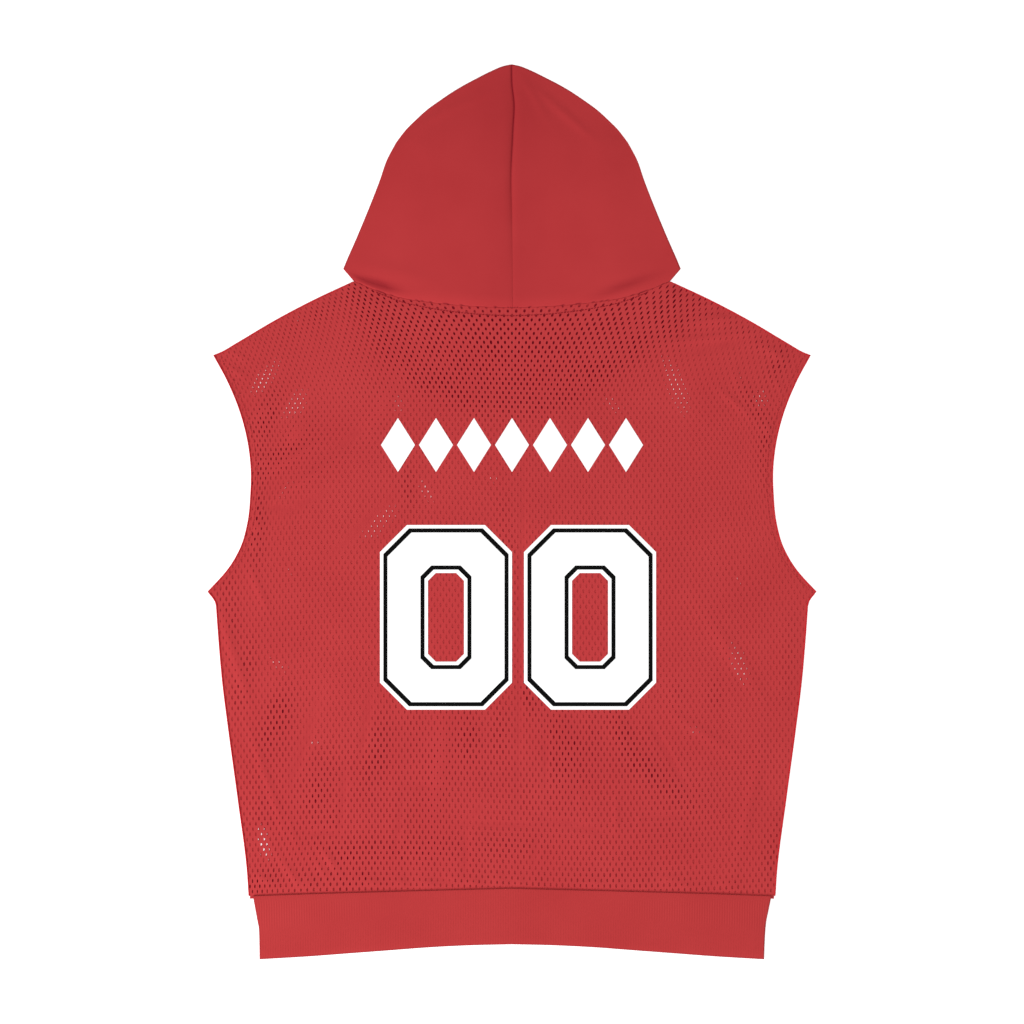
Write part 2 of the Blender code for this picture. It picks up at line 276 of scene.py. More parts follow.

# %% [markdown]
# ## Red cloth
#
# All three cloths are the same red, and differ in their knit. Cloth has no sharp highlight: light
# catches the tiny loose fibres instead, which Blender calls sheen. The colour drifts a little over the
# surface, as dye and pile do. Shade is painted into the red as well: a `fold` value on the cloth deepens
# it along turned edges and seams as a thin saturated line, in crease troughs and hollows, and behind the
# holes of the mesh cloth, where this painted shade is a little uneven. The cloth is also painted darker
# towards each hole of the mesh and in the grooves between ribs. The knit is a small bump on Object
# coordinates, so it has its real size on every piece.

# %% Node helpers
def feed(tree, node, inputs):
    """Link each input of a node to a socket or to a node's first output, or give it a value."""
    for place, source in inputs.items():
        if isinstance(source, bpy.types.Node):
            source = source.outputs[0]
        if isinstance(source, bpy.types.NodeSocket):
            tree.links.new(source, node.inputs[place])
        else:
            node.inputs[place].default_value = source


def add_node(tree, kind, inputs=None, **settings):
    """A new node with its settings and its inputs."""
    node = tree.nodes.new(kind)
    for name, value in settings.items():
        setattr(node, name, value)
    feed(tree, node, inputs or {})
    return node


def math_node(tree, operation, a, b=0.0, **settings):
    """Arithmetic on two numbers."""
    return add_node(tree, "ShaderNodeMath", {0: a, 1: b}, operation=operation, **settings).outputs[0]


def wave_node(tree, shape, along, pitch):
    """A sine or cosine wave along a value, its pitch in metres."""
    return math_node(tree, shape, math_node(tree, "MULTIPLY", along, 2 * pi / pitch))


def noise_node(tree, place, scale, detail, roughness=0.5):
    """Cloudy noise: a greater scale makes smaller clouds."""
    look = {"Vector": place, "Scale": scale, "Detail": detail, "Roughness": roughness}
    return add_node(tree, "ShaderNodeTexNoise", look).outputs["Fac"]


def range_node(tree, value, known, wanted):
    """A value carried from one range to another."""
    ends = {"From Min": known[0], "From Max": known[1], "To Min": wanted[0], "To Max": wanted[1]}
    return add_node(tree, "ShaderNodeMapRange", {"Value": value, **ends}).outputs[0]


def mix_node(tree, share, a, b):
    """A colour between two others."""
    colours = {"Factor": share, "A": a, "B": b}
    return add_node(tree, "ShaderNodeMix", colours, data_type="RGBA").outputs["Result"]


print("Node helpers:", [helper.__name__ for helper in (wave_node, noise_node, range_node, mix_node)])

# %% Cloth materials
SHEEN_TINT = (1.0, 0.55, 0.5, 1)
# The third tint is the deep red that painted shade runs towards
DARK_DYE, LIGHT_DYE, DEEP_SHADE_TINT = (0.93, 0.85, 0.87), (1.07, 1.16, 1.14), (0.36, 0.0, 0.20)
DYE_CLOUDS, SHADE_CLOUDS, FUZZ = 14.0, 120.0, 900.0


def paint(colour, factors=1.0):
    """A colour as seen, 0 to 255, times some factors, as the linear values that Blender computes with."""
    seen = np.array(colour) / 255
    linear = np.where(seen < 0.04, seen / 12.92, ((seen + 0.055) / 1.055) ** 2.4)
    return (*np.minimum(linear * factors, 1), 1)


def new_material(name, roughness, specular=0.06):
    """A new material with its tree and its shader."""
    material = bpy.data.materials.new(name)
    material.use_nodes = True
    shader = material.node_tree.nodes["Principled BSDF"]
    feed(material.node_tree, shader, {"Roughness": roughness, "Specular IOR Level": specular})
    return material, material.node_tree, shader


def cloth_material(name, colour, knit, roughness, sheen, groove=(0.0, 1.0), net=None):
    """Knitted cloth: knit is the width, height and depth of its stitches, in millimetres.

    groove is how far painted shade darkens the columns between its ribs, and how far apart they are. net is
    for mesh
    cloth: how far painted shade darkens it towards each hole, and the holes' pitch and row.
    """
    material, tree, shader = new_material(name, roughness)
    place = add_node(tree, "ShaderNodeTexCoord").outputs["Object"]
    drift = noise_node(tree, place, DYE_CLOUDS, 4.0)
    tone = mix_node(tree, drift, paint(colour, DARK_DYE), paint(colour, LIGHT_DYE))
    # Painted shade: the fold value of each point deepens the red
    folded = add_node(tree, "ShaderNodeAttribute", attribute_name="fold").outputs["Fac"]
    pattern = add_node(tree, "ShaderNodeAttribute", attribute_name="pattern").outputs["Vector"]
    flat = add_node(tree, "ShaderNodeSeparateXYZ", {0: pattern}).outputs
    # Painted shade in the grooves between ribs
    valley = wave_node(tree, "COSINE", flat["X"], groove[1] * MM)
    darkness = range_node(tree, valley, (-1.0, 1.0), (0.0, groove[0]))
    # On mesh cloth, painted shade darkens the cloth towards each hole, and it is uneven behind the holes
    if net:
        net_depth, pitch, row = net
        x_wave = wave_node(tree, "COSINE", flat["X"], pitch * MM)
        y_wave = wave_node(tree, "COSINE", flat["Y"], 2 * row * MM)
        near_hole = math_node(tree, "MULTIPLY", x_wave, y_wave)
        hole_shade = range_node(tree, near_hole, (-1.0, 1.0), (0.0, net_depth))
        darkness = math_node(tree, "ADD", darkness, hole_shade)
        uneven = range_node(tree, noise_node(tree, place, SHADE_CLOUDS, 1.0), (0.35, 0.65), (0.4, 1.4))
        folded = math_node(tree, "MULTIPLY", folded, uneven)
    depth = math_node(tree, "ADD", darkness, folded, use_clamp=True)
    red = mix_node(tree, depth, tone, paint(colour, DEEP_SHADE_TINT))

    wale, course, bump = knit
    surface = add_node(tree, "ShaderNodeSeparateXYZ", {0: place}).outputs
    wales = wave_node(tree, "SINE", surface["X"], 2 * wale * MM)
    courses = wave_node(tree, "SINE", surface["Y"], 2 * course * MM)
    stitches = math_node(tree, "MULTIPLY", wales, courses)
    rise = math_node(tree, "ADD", stitches, noise_node(tree, place, FUZZ, 2.0))
    relief = add_node(tree, "ShaderNodeBump", {"Strength": 0.35, "Distance": bump * MM, "Height": rise})
    feed(tree, shader, {"Sheen Weight": sheen, "Sheen Roughness": 0.6, "Sheen Tint": SHEEN_TINT})
    feed(tree, shader, {"Base Color": red, "Normal": relief})
    return material


PITCH, ROW, RIB_PITCH = 5.95, 5.35, 2.5
MESH_KNIT, JERSEY_KNIT, RIB_KNIT = (0.9, 0.7, 0.12), (0.8, 0.6, 0.10), (1.25, 0.8, 0.10)
holes_shade = dict(groove=(0.10, PITCH / 2), net=(0.10, PITCH, ROW))
mesh_red = cloth_material("mesh_red", (187, 57, 59), MESH_KNIT, roughness=0.8, sheen=0.1, **holes_shade)
jersey_red = cloth_material("jersey_red", (176, 50, 53), JERSEY_KNIT, roughness=0.85, sheen=0.1)
ribs_shade = (0.20, RIB_PITCH)
rib_red = cloth_material("rib_red", (182, 55, 56), RIB_KNIT, roughness=0.85, sheen=0.1, groove=ribs_shade)
edge_red = cloth_material("edge_red", (188, 34, 42), MESH_KNIT, roughness=0.8, sheen=0.0)
# A darker red for seam rolls and the neck's stitches, painted shade for the grooves of the seams
shaded_seam_red = cloth_material("shaded_seam_red", (128, 16, 30), MESH_KNIT, roughness=0.8, sheen=0.0)
print("Cloth materials:", [cloth.name for cloth in (mesh_red, jersey_red, rib_red, edge_red, shaded_seam_red)])

# %% [markdown]
# ## How high the back lies
#
# The garment is two layers of cloth with a little air between them. The back panel rises from its edges,
# stands off the front by a millimetre or two, and is lifted where the hood's cloth and the hem's seam
# allowance lie under it. That gap decides how dark each hole looks, so it is worth shaping with care:
# where the layers touch the holes nearly vanish, and where they part they turn black, partly by real
# shadow in the gap and partly by painted shade, which the same gap deepens on the cloth under the holes.

# %% Folds of the body
BODY_FOLDS = (
    # x, height, half_length, half_width, lean, rise
    # Down the left side
    (-279, 306, 52, 5, -18, 0.34), (-246, 182, 60, 3.4, -19, 0.26), (-220, 129, 14, 2.5, -17, 0.24),
    (-254, 372, 24, 3.5, -22, 0.26), (-222, 87, 18, 3.2, -34, 0.32), (-182, 99, 15, 3.0, -37, 0.32),
    (-192, 91, 12, 2.4, -34, 0.22), (-248, 80, 9, 3.0, -63, 0.30), (-190, 127, 14, 3.0, 88, -0.24),
    (-169, 159, 28, 3.2, 4, -0.22), (-208, 216, 42, 5.0, 19, -0.26), (-146, 234, 30, 3.5, 9, -0.26),
    # From the left armhole towards the middle of the back
    (-277, 588, 12, 3.0, -61, 0.26), (-273, 603, 10, 2.6, -63, 0.20), (-248, 549, 14, 3.0, 54, 0.24),
    (-214, 528, 15, 6.0, 38, 0.42), (-218, 502, 34, 3.6, 57, 0.30), (-203, 482, 32, 4.2, 57, 0.28),
    (-207, 457, 24, 3.2, 62, -0.28), (-238, 452, 12, 3.0, 100, -0.26), (-254, 432, 7, 3.0, 50, 0.30),
    (-257, 417, 7, 3.0, 50, 0.24), (-248, 499, 7, 3.0, 60, 0.24), (-159, 523, 18, 4.0, 54, -0.22),
    (-151, 433, 38, 4.5, 47, -0.22),
    # Over the right shoulder and by the right armhole
    (197, 638, 24, 3.0, 83, 0.34), (190, 620, 36, 3.2, 82, 0.32), (211, 614, 30, 3.6, 76, -0.26),
    (201, 648, 16, 3.0, 98, -0.20), (224, 555, 20, 3.0, -49, 0.34), (224, 582, 8, 2.6, 0, 0.20),
    (261, 606, 14, 3.0, -57, 0.28), (265, 575, 8, 2.6, -40, 0.20), (256, 530, 7, 3.0, -10, 0.26),
    # Down the middle, where the garment was once folded for the shelf
    (9, 330, 150, 2.4, 1, -0.20), (34, 199, 26, 2.2, 0, -0.22), (155, 207, 34, 2.8, -30, -0.24),
    # Across the lower back
    (60, 135, 28, 3.2, 104, -0.30), (-6, 135, 42, 3.2, 90, -0.16), (-113, 133, 24, 2.6, 7, -0.24),
    (-46, 109, 22, 2.6, 0, -0.26), (-36, 147, 10, 2.6, 45, -0.22), (24, 107, 16, 3.0, 10, -0.16),
    (68, 159, 9, 2.5, 0, 0.20), (104, 145, 16, 2.5, 2, 0.26), (128, 137, 8, 3.0, 0, 0.20),
    (156, 143, 18, 2.4, 90, -0.20), (-88, 173, 14, 2.6, 90, -0.18), (222, 302, 40, 7.0, -34, 0.30),
    (236, 150, 50, 6.0, 12, 0.26), (190, 226, 36, 5.0, -58, 0.22), (-72, 196, 60, 9.0, 6, 0.25),
    (-128, 556, 34, 8.0, 25, 0.25),
    # Gathers at the hem seam
    (-140, 77, 8, 2.4, 90, 0.30), (-110, 77, 5, 2.4, 80, 0.34), (-84, 76, 8, 2.2, 96, 0.26),
    (-68, 79, 7, 2.2, 104, -0.30), (-40, 77, 6, 2.4, 90, 0.30), (-12, 80, 7, 2.2, 84, 0.24),
    (8, 78, 5, 2.4, 40, 0.34), (84, 76, 8, 2.2, 90, 0.28), (156, 80, 8, 2.4, 80, 0.30),
    (172, 74, 6, 2.2, 100, 0.26), (212, 76, 8, 2.4, 82, 0.26), (-205, 77, 6, 2.6, 60, 0.26),
)
AIR_POCKETS = (
    # x, height, half_length, half_width, lean, rise: where the layers stand apart and the holes turn dark,
    # by shadow and by painted shade
    (208, 640, 42, 10, -60, 0.6), (-190, 648, 34, 8, 62, 0.6), (-215, 628, 40, 9, 60, 0.2),
    (-244, 548, 22, 10, 30, 0.9), (-226, 508, 30, 9, 50, 0.9), (-250, 522, 30, 9, 10, 0.6),
    (-236, 496, 34, 9, 66, 0.7), (-256, 440, 40, 9, 0, 1.2), (-282, 360, 60, 11, -4, 0.5),
    (-268, 280, 40, 10, 12, 0.7), (-236, 238, 30, 13, 20, 1.1), (-194, 164, 26, 12, 16, 0.6),
    (-134, 212, 36, 12, 12, 0.8), (-98, 232, 26, 9, 0, 0.4), (-44, 226, 26, 11, 0, 0.8),
    (-12, 232, 26, 9, 0, 0.6), (-74, 196, 24, 10, 10, 0.3), (52, 222, 30, 14, -32, 0.8),
    (80, 230, 24, 9, -10, 0.4), (108, 232, 30, 10, -24, 0.9), (138, 228, 20, 9, -20, 0.4),
    (134, 190, 30, 11, -40, 0.7), (50, 190, 24, 14, -20, 0.5), (168, 168, 22, 10, -50, 0.4),
    (18, 270, 24, 10, 0, 0.9), (-6, 416, 50, 8, -6, 0.5), (-104, 470, 22, 9, 0, 0.6),
    (-250, 150, 50, 10, -6, 0.25), (-158, 106, 34, 15, 84, 0.6), (-100, 108, 34, 13, 86, 0.55),
    (-62, 112, 30, 9, 92, 0.2), (-252, 78, 20, 9, 60, 0.9), (-200, 80, 40, 9, 88, 0.3),
    (-150, 78, 30, 9, 88, 0.5), (-180, 138, 24, 9, 34, 0.5), (0, 112, 30, 9, 92, 0.4),
    (84, 84, 40, 9, 88, 0.1), (266, 596, 24, 10, 20, 0.8), (238, 560, 24, 8, -30, 0.8),
    (246, 616, 22, 8, -60, 0.5), (252, 520, 40, 8, 0, 0.7), (203, 266, 18, 9, 0, 0.5),
    (164, 262, 18, 9, 0, 0.4), (262, 110, 40, 9, 8, 0.5), (276, 300, 50, 8, 4, 0.3),
)
PULLED_SHUT = (
    # x, height, half_length, half_width, lean, share: where the weight of the hood draws the holes shut
    (-182, 586, 52, 40, -41, 0.30), (206, 592, 48, 36, 50, 0.28), (150, 566, 30, 22, 45, 0.22),
)
NECK_HOLLOW = (
    # x, height: below this line the front panel lies under the back, above it only the hood's neck does
    (-300, 760), (-200, 722), (-165, 668), (-138, 616), (-114, 585), (-70, 558), (0, 542), (60, 556),
    (100, 580), (130, 604), (170, 622), (210, 648), (260, 684), (300, 720),
)
HOLLOW_RISE, HOLLOW_SOFTNESS = 1.04, 34.0
LOW_ROOM, LOW_ROOM_TOP = 0.31, 250.0
REST_GAP = 0.34
BACK_SHARE = 0.5
CREASE = 2.8
ARMHOLE_GATHERS = 0.22
BODY_LOFT = 0.12
HEM_LIFT = 0.35
PUCKERS, PUCKER_RISE, PUCKER_LENGTH = 13, 0.22, 14.0
MESH_WALL, HOOD_WALL, SEAM_GAP = 1.0, 1.2, 0.3
SEWN_DOWN = 0.3
print("Body:", len(BODY_FOLDS), "creases and", len(AIR_POCKETS), "pockets of air")

# %% Height of the back
def panel_edge(height):
    """Half width of the body at a height."""
    tip = np.interp(height, *np.array(UNDERARM).T)
    over_side = np.where(height <= UNDERARM[-1][0], tip, smooth(ARMHOLE, height))
    return np.where(height <= SIDE[-1][0], smooth(SIDE, height), over_side)


def front_neck(x):
    """Height of the deep front neckline."""
    share = abs(x) / NECK_POINT[0]
    return FRONT_NECK + (NECK_POINT[1] - FRONT_NECK) * share**NECKLINE_POWER


def panel_top(x, front=False):
    """Height of a panel's neck seam and shoulder seams."""
    x = abs(x)
    neck = front_neck(x) if front else smooth(BACK_NECK, x)
    return np.where(x < NECK_POINT[0], neck, smooth(SHOULDER, x)) - SEAM_GAP


def layer_gap(x, height):
    """How far the layers under the back stand away from it, beyond their rest."""
    # Round the neck the layers part widely; under the lower back the room is patchy, and less to the right
    hollow = HOLLOW_RISE * ease((height - smooth(NECK_HOLLOW, x)) / HOLLOW_SOFTNESS + 0.5)
    patchy = 0.75 + 0.25 * np.sin(x / 23) * np.sin(height / 19) - 0.4 * ease((x - 160) / 60)
    low = LOW_ROOM * ease((LOW_ROOM_TOP - height) / 60) * patchy
    return soft_folds(AIR_POCKETS, x, height) * (1 - ease(hollow)) + hollow + low


def back_height(x, height):
    """Height of the middle of the back's cloth over the surface, in millimetres.

    A distance over a number, in ease, has its full effect that many millimetres in from the edge.
    """
    from_side = np.maximum(panel_edge(height) - abs(x), 0)
    from_band = np.maximum(height - smooth(BAND_SEAM, abs(x)), 0)
    from_top = np.maximum(panel_top(x) - height, 0)
    inside = ease(from_side / 70) * ease(from_band / 45) * ease(from_top / 55)
    over_hood = ease((HOOD_CORNER[0] + 6 - abs(x)) / 15) * (1 - ease(from_top / 140))
    rest = 0.5 * MESH_WALL + REST_GAP + inside * BODY_LOFT + over_hood * (HOOD_WALL - 0.5 * MESH_WALL)
    over_hem = HEM_LIFT * (1 - ease(from_band / 26))
    held = ease(from_side / 9) * ease(from_band / 7) * ease((from_top - 3) / 9)
    lifted = BACK_SHARE * layer_gap(x, height) * held
    creased = CREASE * soft_folds(BODY_FOLDS, x, height) * ease(from_side / 8) * ease(from_band / 6)
    across = x / SIDE[0][1] + 0.12 * np.sin(x / 61) + 0.05 * np.sin(x / 17)
    fading = ease(from_band / 7) * np.exp(-from_band / PUCKER_LENGTH)
    puckers = PUCKER_RISE * np.sin(pi * PUCKERS * across) * fading
    waves = np.sin(height / 1.9 + 2 * np.sin(height / 13 + x))
    gathers = ARMHOLE_GATHERS * waves * bell(from_side - 4, 5) * (height > SIDE[-1][0] + 6)
    sewn_down = SEWN_DOWN * (1 - ease(np.minimum(from_band, from_top) / 2.5))
    return rest + over_hem + lifted + np.maximum(creased, -REST_GAP) + puckers + gathers - sewn_down


print("Back panel lies", round(float(back_height(np.array([0.0]), np.array([300.0]))[0]), 2), "mm up")

# %% [markdown]
# ## The flat pattern of a mesh panel
#
# Mesh cloth is knitted flat with its holes in even, staggered rows, and then cut and laid. So a panel
# is made here the same way: first a plain sheet in the flat pattern's own coordinates, which carries for
# each point the place where it will lie, stored as the attribute `laid`. Later, holes are punched in the
# flat pattern and the result is carried over. Where the cloth is pulled, as round the neck, the pattern
# coordinates are squeezed, so the holes come out stretched and fan apart as on the real garment. Two
# more values go with each point: `fold` paints shade into its red, in the troughs of creases and where
# the layers stand apart, and `shut` says how far a crease or a pull draws its holes shut.

# %% Flat pattern
CLEAR = (PITCH / 2, 0.0)
PULL_START, ARMHOLE_MIDDLE, HEM_CORNER = 560, 495, (-262, 64)
SHADE_PER_MM, SHADE_START, DEEPEST_SHADE = 0.92, 0.05, 0.97
SEE_THROUGH = (
    # x, height, half_length, half_width, lean, share: where the holes of both layers meet
    (-246, 583, 36, 12, 41, 0.67), (-215, 557, 30, 13, 39, 0.65), (-115, 557, 26, 14, -10, 0.65),
    (-227, 468, 26, 10, 40, 0.57), (-18, 480, 14, 8, -40, 0.60), (-132, 439, 46, 18, 47, 0.555),
    (-84, 466, 24, 9, -30, 0.59), (-213, 639, 12, 7, 40, 0.60),
    (-224, 388, 16, 9, -20, 0.58), (-232, 294, 22, 9, -60, 0.59), (102, 554, 26, 14, -56, 0.66),
    (164, 571, 50, 18, -22, 0.74), (250, 558, 20, 12, 10, 0.58), (226, 583, 20, 9, -40, 0.53),
    (226, 297, 30, 11, -24, 0.92), (184, 228, 20, 9, -60, 0.74), (225, 378, 14, 8, -30, 0.63),
    (-198, 217, 14, 7, 70, 0.58), (-149, 232, 10, 7, -30, 0.58), (-248.5, 117, 24, 8, -14, 1.0),
)


def gentle_ramp(distance, width):
    """0 well below 0, the distance itself well above, and a smooth bend of some width between."""
    return (distance + np.hypot(distance, width)) / 2


def pattern_place(x, height):
    """Where a point of the laid cloth was in the flat pattern."""
    # The hood pulls the rows up and fans the columns apart
    pull = (np.maximum(height - PULL_START, 0) / 100) ** 1.5
    fan = 0.35 * x * bell(x, 260) * pull
    # By the armholes the columns crowd together, and at the left end of the hem seam they spread
    from_armhole = height - ARMHOLE_MIDDLE
    by_armhole = 0.17 * np.sign(x) * np.maximum(abs(x) - 205, 0) * bell(from_armhole, 60)
    from_corner = x - HEM_CORNER[0]
    near_corner = bell(from_corner, 60) * bell(height - HEM_CORNER[1], 40)
    s = x - fan + by_armhole + 14 * near_corner * from_corner / 60
    # The rows wander a little, and are further apart above the armholes' middle
    t = height + 0.2 * gentle_ramp(from_armhole, 45) - 0.07 * x * pull
    t = t + 3.2 * np.sin(x / 74) + 1.8 * np.sin(height / 58 + x / 120)
    return s, t


def layer_drift(x, height):
    """How far the front's rows lie off the back's, so that its holes stay between them."""
    meet = np.clip(soft_folds(SEE_THROUGH, x, height), 0, 1)
    wander_x = 0.35 * np.sin(x / 37 + height / 51)
    wander_y = 0.8 * np.sin(height / 43 - x / 67)
    return (CLEAR[0] + wander_x) * (1 - meet), (CLEAR[1] + wander_y) * (1 - meet)


def pocket_shade(x, height):
    """How deep the painted shade on the front's red is where the layers stand apart, from 0 to 1."""
    return np.clip(SHADE_PER_MM * layer_gap(x, height) - SHADE_START, 0, DEEPEST_SHADE)


print("Places where the floor shows through:", len(SEE_THROUGH))

# %% Panel grids
def panel_borders(fineness, share, front=False):
    """A panel's low, top and side borders, and how far up it each of its rows is."""
    side_rows = np.linspace(SIDE[0][0], SIDE[-1][0], 62 * fineness)
    armhole_rows = np.linspace(UNDERARM[-1][0], SHOULDER_TIP[1], 54 * fineness)
    rows = np.concatenate([side_rows, [UNDERARM[1][0]], armhole_rows])
    low_x = share * SIDE[0][1]
    high_x = share * SHOULDER_TIP[0]
    low = points_at(low_x, smooth(BAND_SEAM, abs(low_x)))
    high = points_at(high_x, panel_top(high_x, front))
    side = points_at(panel_edge(rows), rows)
    side[-1] = high[-1]
    return low, high, side, (rows - rows[0]) / (rows[-1] - rows[0])


def back_flat():
    """The back panel as a grid of (x, height)."""
    share = np.linspace(-1, 1, 281)
    low, high, side, v = panel_borders(2, share)
    return patch(low, high, side * (-1, 1), side, (share + 1) / 2, v)


def front_flat():
    """The front panel as a grid of (x, height): its right half, and the same mirrored."""
    share = np.linspace(0, 1, 62)
    low, high, side, v = panel_borders(1, share, front=True)
    middle = points_at(0, low[0, 1] + v * (high[0, 1] - low[0, 1]))
    right = patch(low, high, middle, side, share, v)
    return np.concatenate([right[:, :0:-1] * (-1, 1), right], axis=1)


back_grid, front_grid = back_flat(), front_flat()
print("Panel grids:", back_grid.shape[:2], "and", front_grid.shape[:2], "points")

# %% Pattern sheets
def pattern_sheet(name, flat, z, drift, **values):
    """A flat sheet in pattern coordinates, which knows where each point will lie."""
    s, t = pattern_place(*split(flat))
    pattern = placed(points_at(s + drift[0], t + drift[1]), 0.0)
    return make_piece(name, pattern, grid_faces(*flat.shape[:2]), laid=placed(flat, z), **values)


TROUGH_SHADE, CREASE_SHUT, MOST_SHUT = 0.3, 2.1, 0.65
back_z = back_height(*split(back_grid))
creases = soft_folds(BODY_FOLDS, *split(back_grid))
# Painted shade in the troughs of the creases
back_trough_shade = TROUGH_SHADE * np.clip(-creases, 0, 0.5)
back_shut = np.clip(soft_folds(PULLED_SHUT, *split(back_grid)) + CREASE_SHUT * abs(creases), 0, MOST_SHUT)
back_pattern = pattern_sheet("back_pattern", back_grid, back_z, (0, 0), fold=back_trough_shade, shut=back_shut)
front_drift = layer_drift(*split(front_grid))
shades = dict(fold=pocket_shade(*split(front_grid)), shut=np.zeros(front_grid.shape[:2]))
front_pattern = pattern_sheet("front_pattern", front_grid, 0.5 * MESH_WALL, front_drift, **shades)
print("Pattern sheets:", len(back_pattern.data.polygons), "and", len(front_pattern.data.polygons), "quads")

# %% [markdown]
# ## Punching the holes with Geometry Nodes
#
# Some twelve thousand holes are far too many to place by hand, and they follow a rule, so Geometry Nodes
# make them. The tree lays out a staggered grid of points over the pattern, puts a small six-sided cell
# with a hole at each, and the cells fit together like a honeycomb with no gaps. A noise and the `shut`
# value change the size of each hole. Then every point of the cloth looks up the nearest place on the
# pattern sheet and moves to where that place is laid. The sizes are the tree's inputs, so another mesh
# cloth needs only other numbers.

# %% Tree helpers
def new_tree(name, **labels):
    """An empty Geometry Nodes tree with named inputs of each kind, and the sockets that they give."""
    tree = bpy.data.node_groups.new(name, "GeometryNodeTree")
    tree.interface.new_socket("Geometry", in_out="INPUT", socket_type="NodeSocketGeometry")
    for kind, names in labels.items():
        for label in names:
            tree.interface.new_socket(label, in_out="INPUT", socket_type="NodeSocket" + kind)
    tree.interface.new_socket("Geometry", in_out="OUTPUT", socket_type="NodeSocketGeometry")
    tree.nodes.new("NodeGroupOutput")
    return tree, tree.nodes.new("NodeGroupInput").outputs


def finish_tree(tree, geometry, material):
    """End a tree with real geometry and its material."""
    real = add_node(tree, "GeometryNodeRealizeInstances", {"Geometry": geometry})
    dressed = add_node(tree, "GeometryNodeSetMaterial", {"Geometry": real, "Material": material})
    feed(tree, tree.nodes["Group Output"], {0: dressed})


def grow(name, source, tree, **values):
    """Run a tree on a source object and keep the result as a plain piece."""
    modifier = source.modifiers.new(tree.name, "NODES")
    modifier.node_group = tree
    sockets = {item.name: item.identifier for item in tree.interface.items_tree if item.in_out == "INPUT"}
    for label, value in values.items():
        modifier[sockets[label.replace("_", " ").capitalize()]] = value
    mesh = plain_mesh(source)
    mesh.name = name
    bpy.data.objects.remove(source, do_unlink=True)
    return new_object(name, mesh)


def vector_node(tree, operation, a, b=(0, 0, 0), **scale):
    """Arithmetic on two vectors, or on one and a scale."""
    return add_node(tree, "ShaderNodeVectorMath", {0: a, 1: b, **scale}, operation=operation)


def combine(tree, x=0.0, y=0.0, z=0.0):
    """A vector from three numbers."""
    return add_node(tree, "ShaderNodeCombineXYZ", {"X": x, "Y": y, "Z": z})


def move_points(tree, geometry, **change):
    """Move points by an Offset or to a Position."""
    return add_node(tree, "GeometryNodeSetPosition", {"Geometry": geometry, **change})


def remove_faces(tree, geometry, which):
    """Leave out some faces."""
    inputs = {"Geometry": geometry, "Selection": which}
    return add_node(tree, "GeometryNodeDeleteGeometry", inputs, domain="FACE")


def stored(tree, geometry, name, value, kind="FLOAT", **where):
    """Geometry with a named value for each point."""
    inputs = {"Geometry": geometry, "Name": name, "Value": value, **where}
    return add_node(tree, "GeometryNodeStoreNamedAttribute", inputs, data_type=kind, domain="POINT")


def named(tree, name, kind="FLOAT"):
    """A named value of each point."""
    return add_node(tree, "GeometryNodeInputNamedAttribute", {"Name": name}, data_type=kind)


def looked_up(tree, sheet, name, at, kind="FLOAT"):
    """A named value of a sheet, at its place that is nearest to a point."""
    inputs = {"Mesh": sheet, "Value": named(tree, name, kind), "Sample Position": at}
    return add_node(tree, "GeometryNodeSampleNearestSurface", inputs, data_type=kind).outputs["Value"]


print("Tree helpers:", [helper.__name__ for helper in (new_tree, finish_tree, grow, move_points, looked_up)])

# %% Perforated cloth tree
CELL_REACH = 0.56
HOLE_CLOUDS = 45.0
SMALLEST_HOLE, LARGEST_HOLE = 0.74, 1.18
JOIN_DISTANCE, SLIVER_AREA = 0.05 * MM, 0.15 * MM * MM


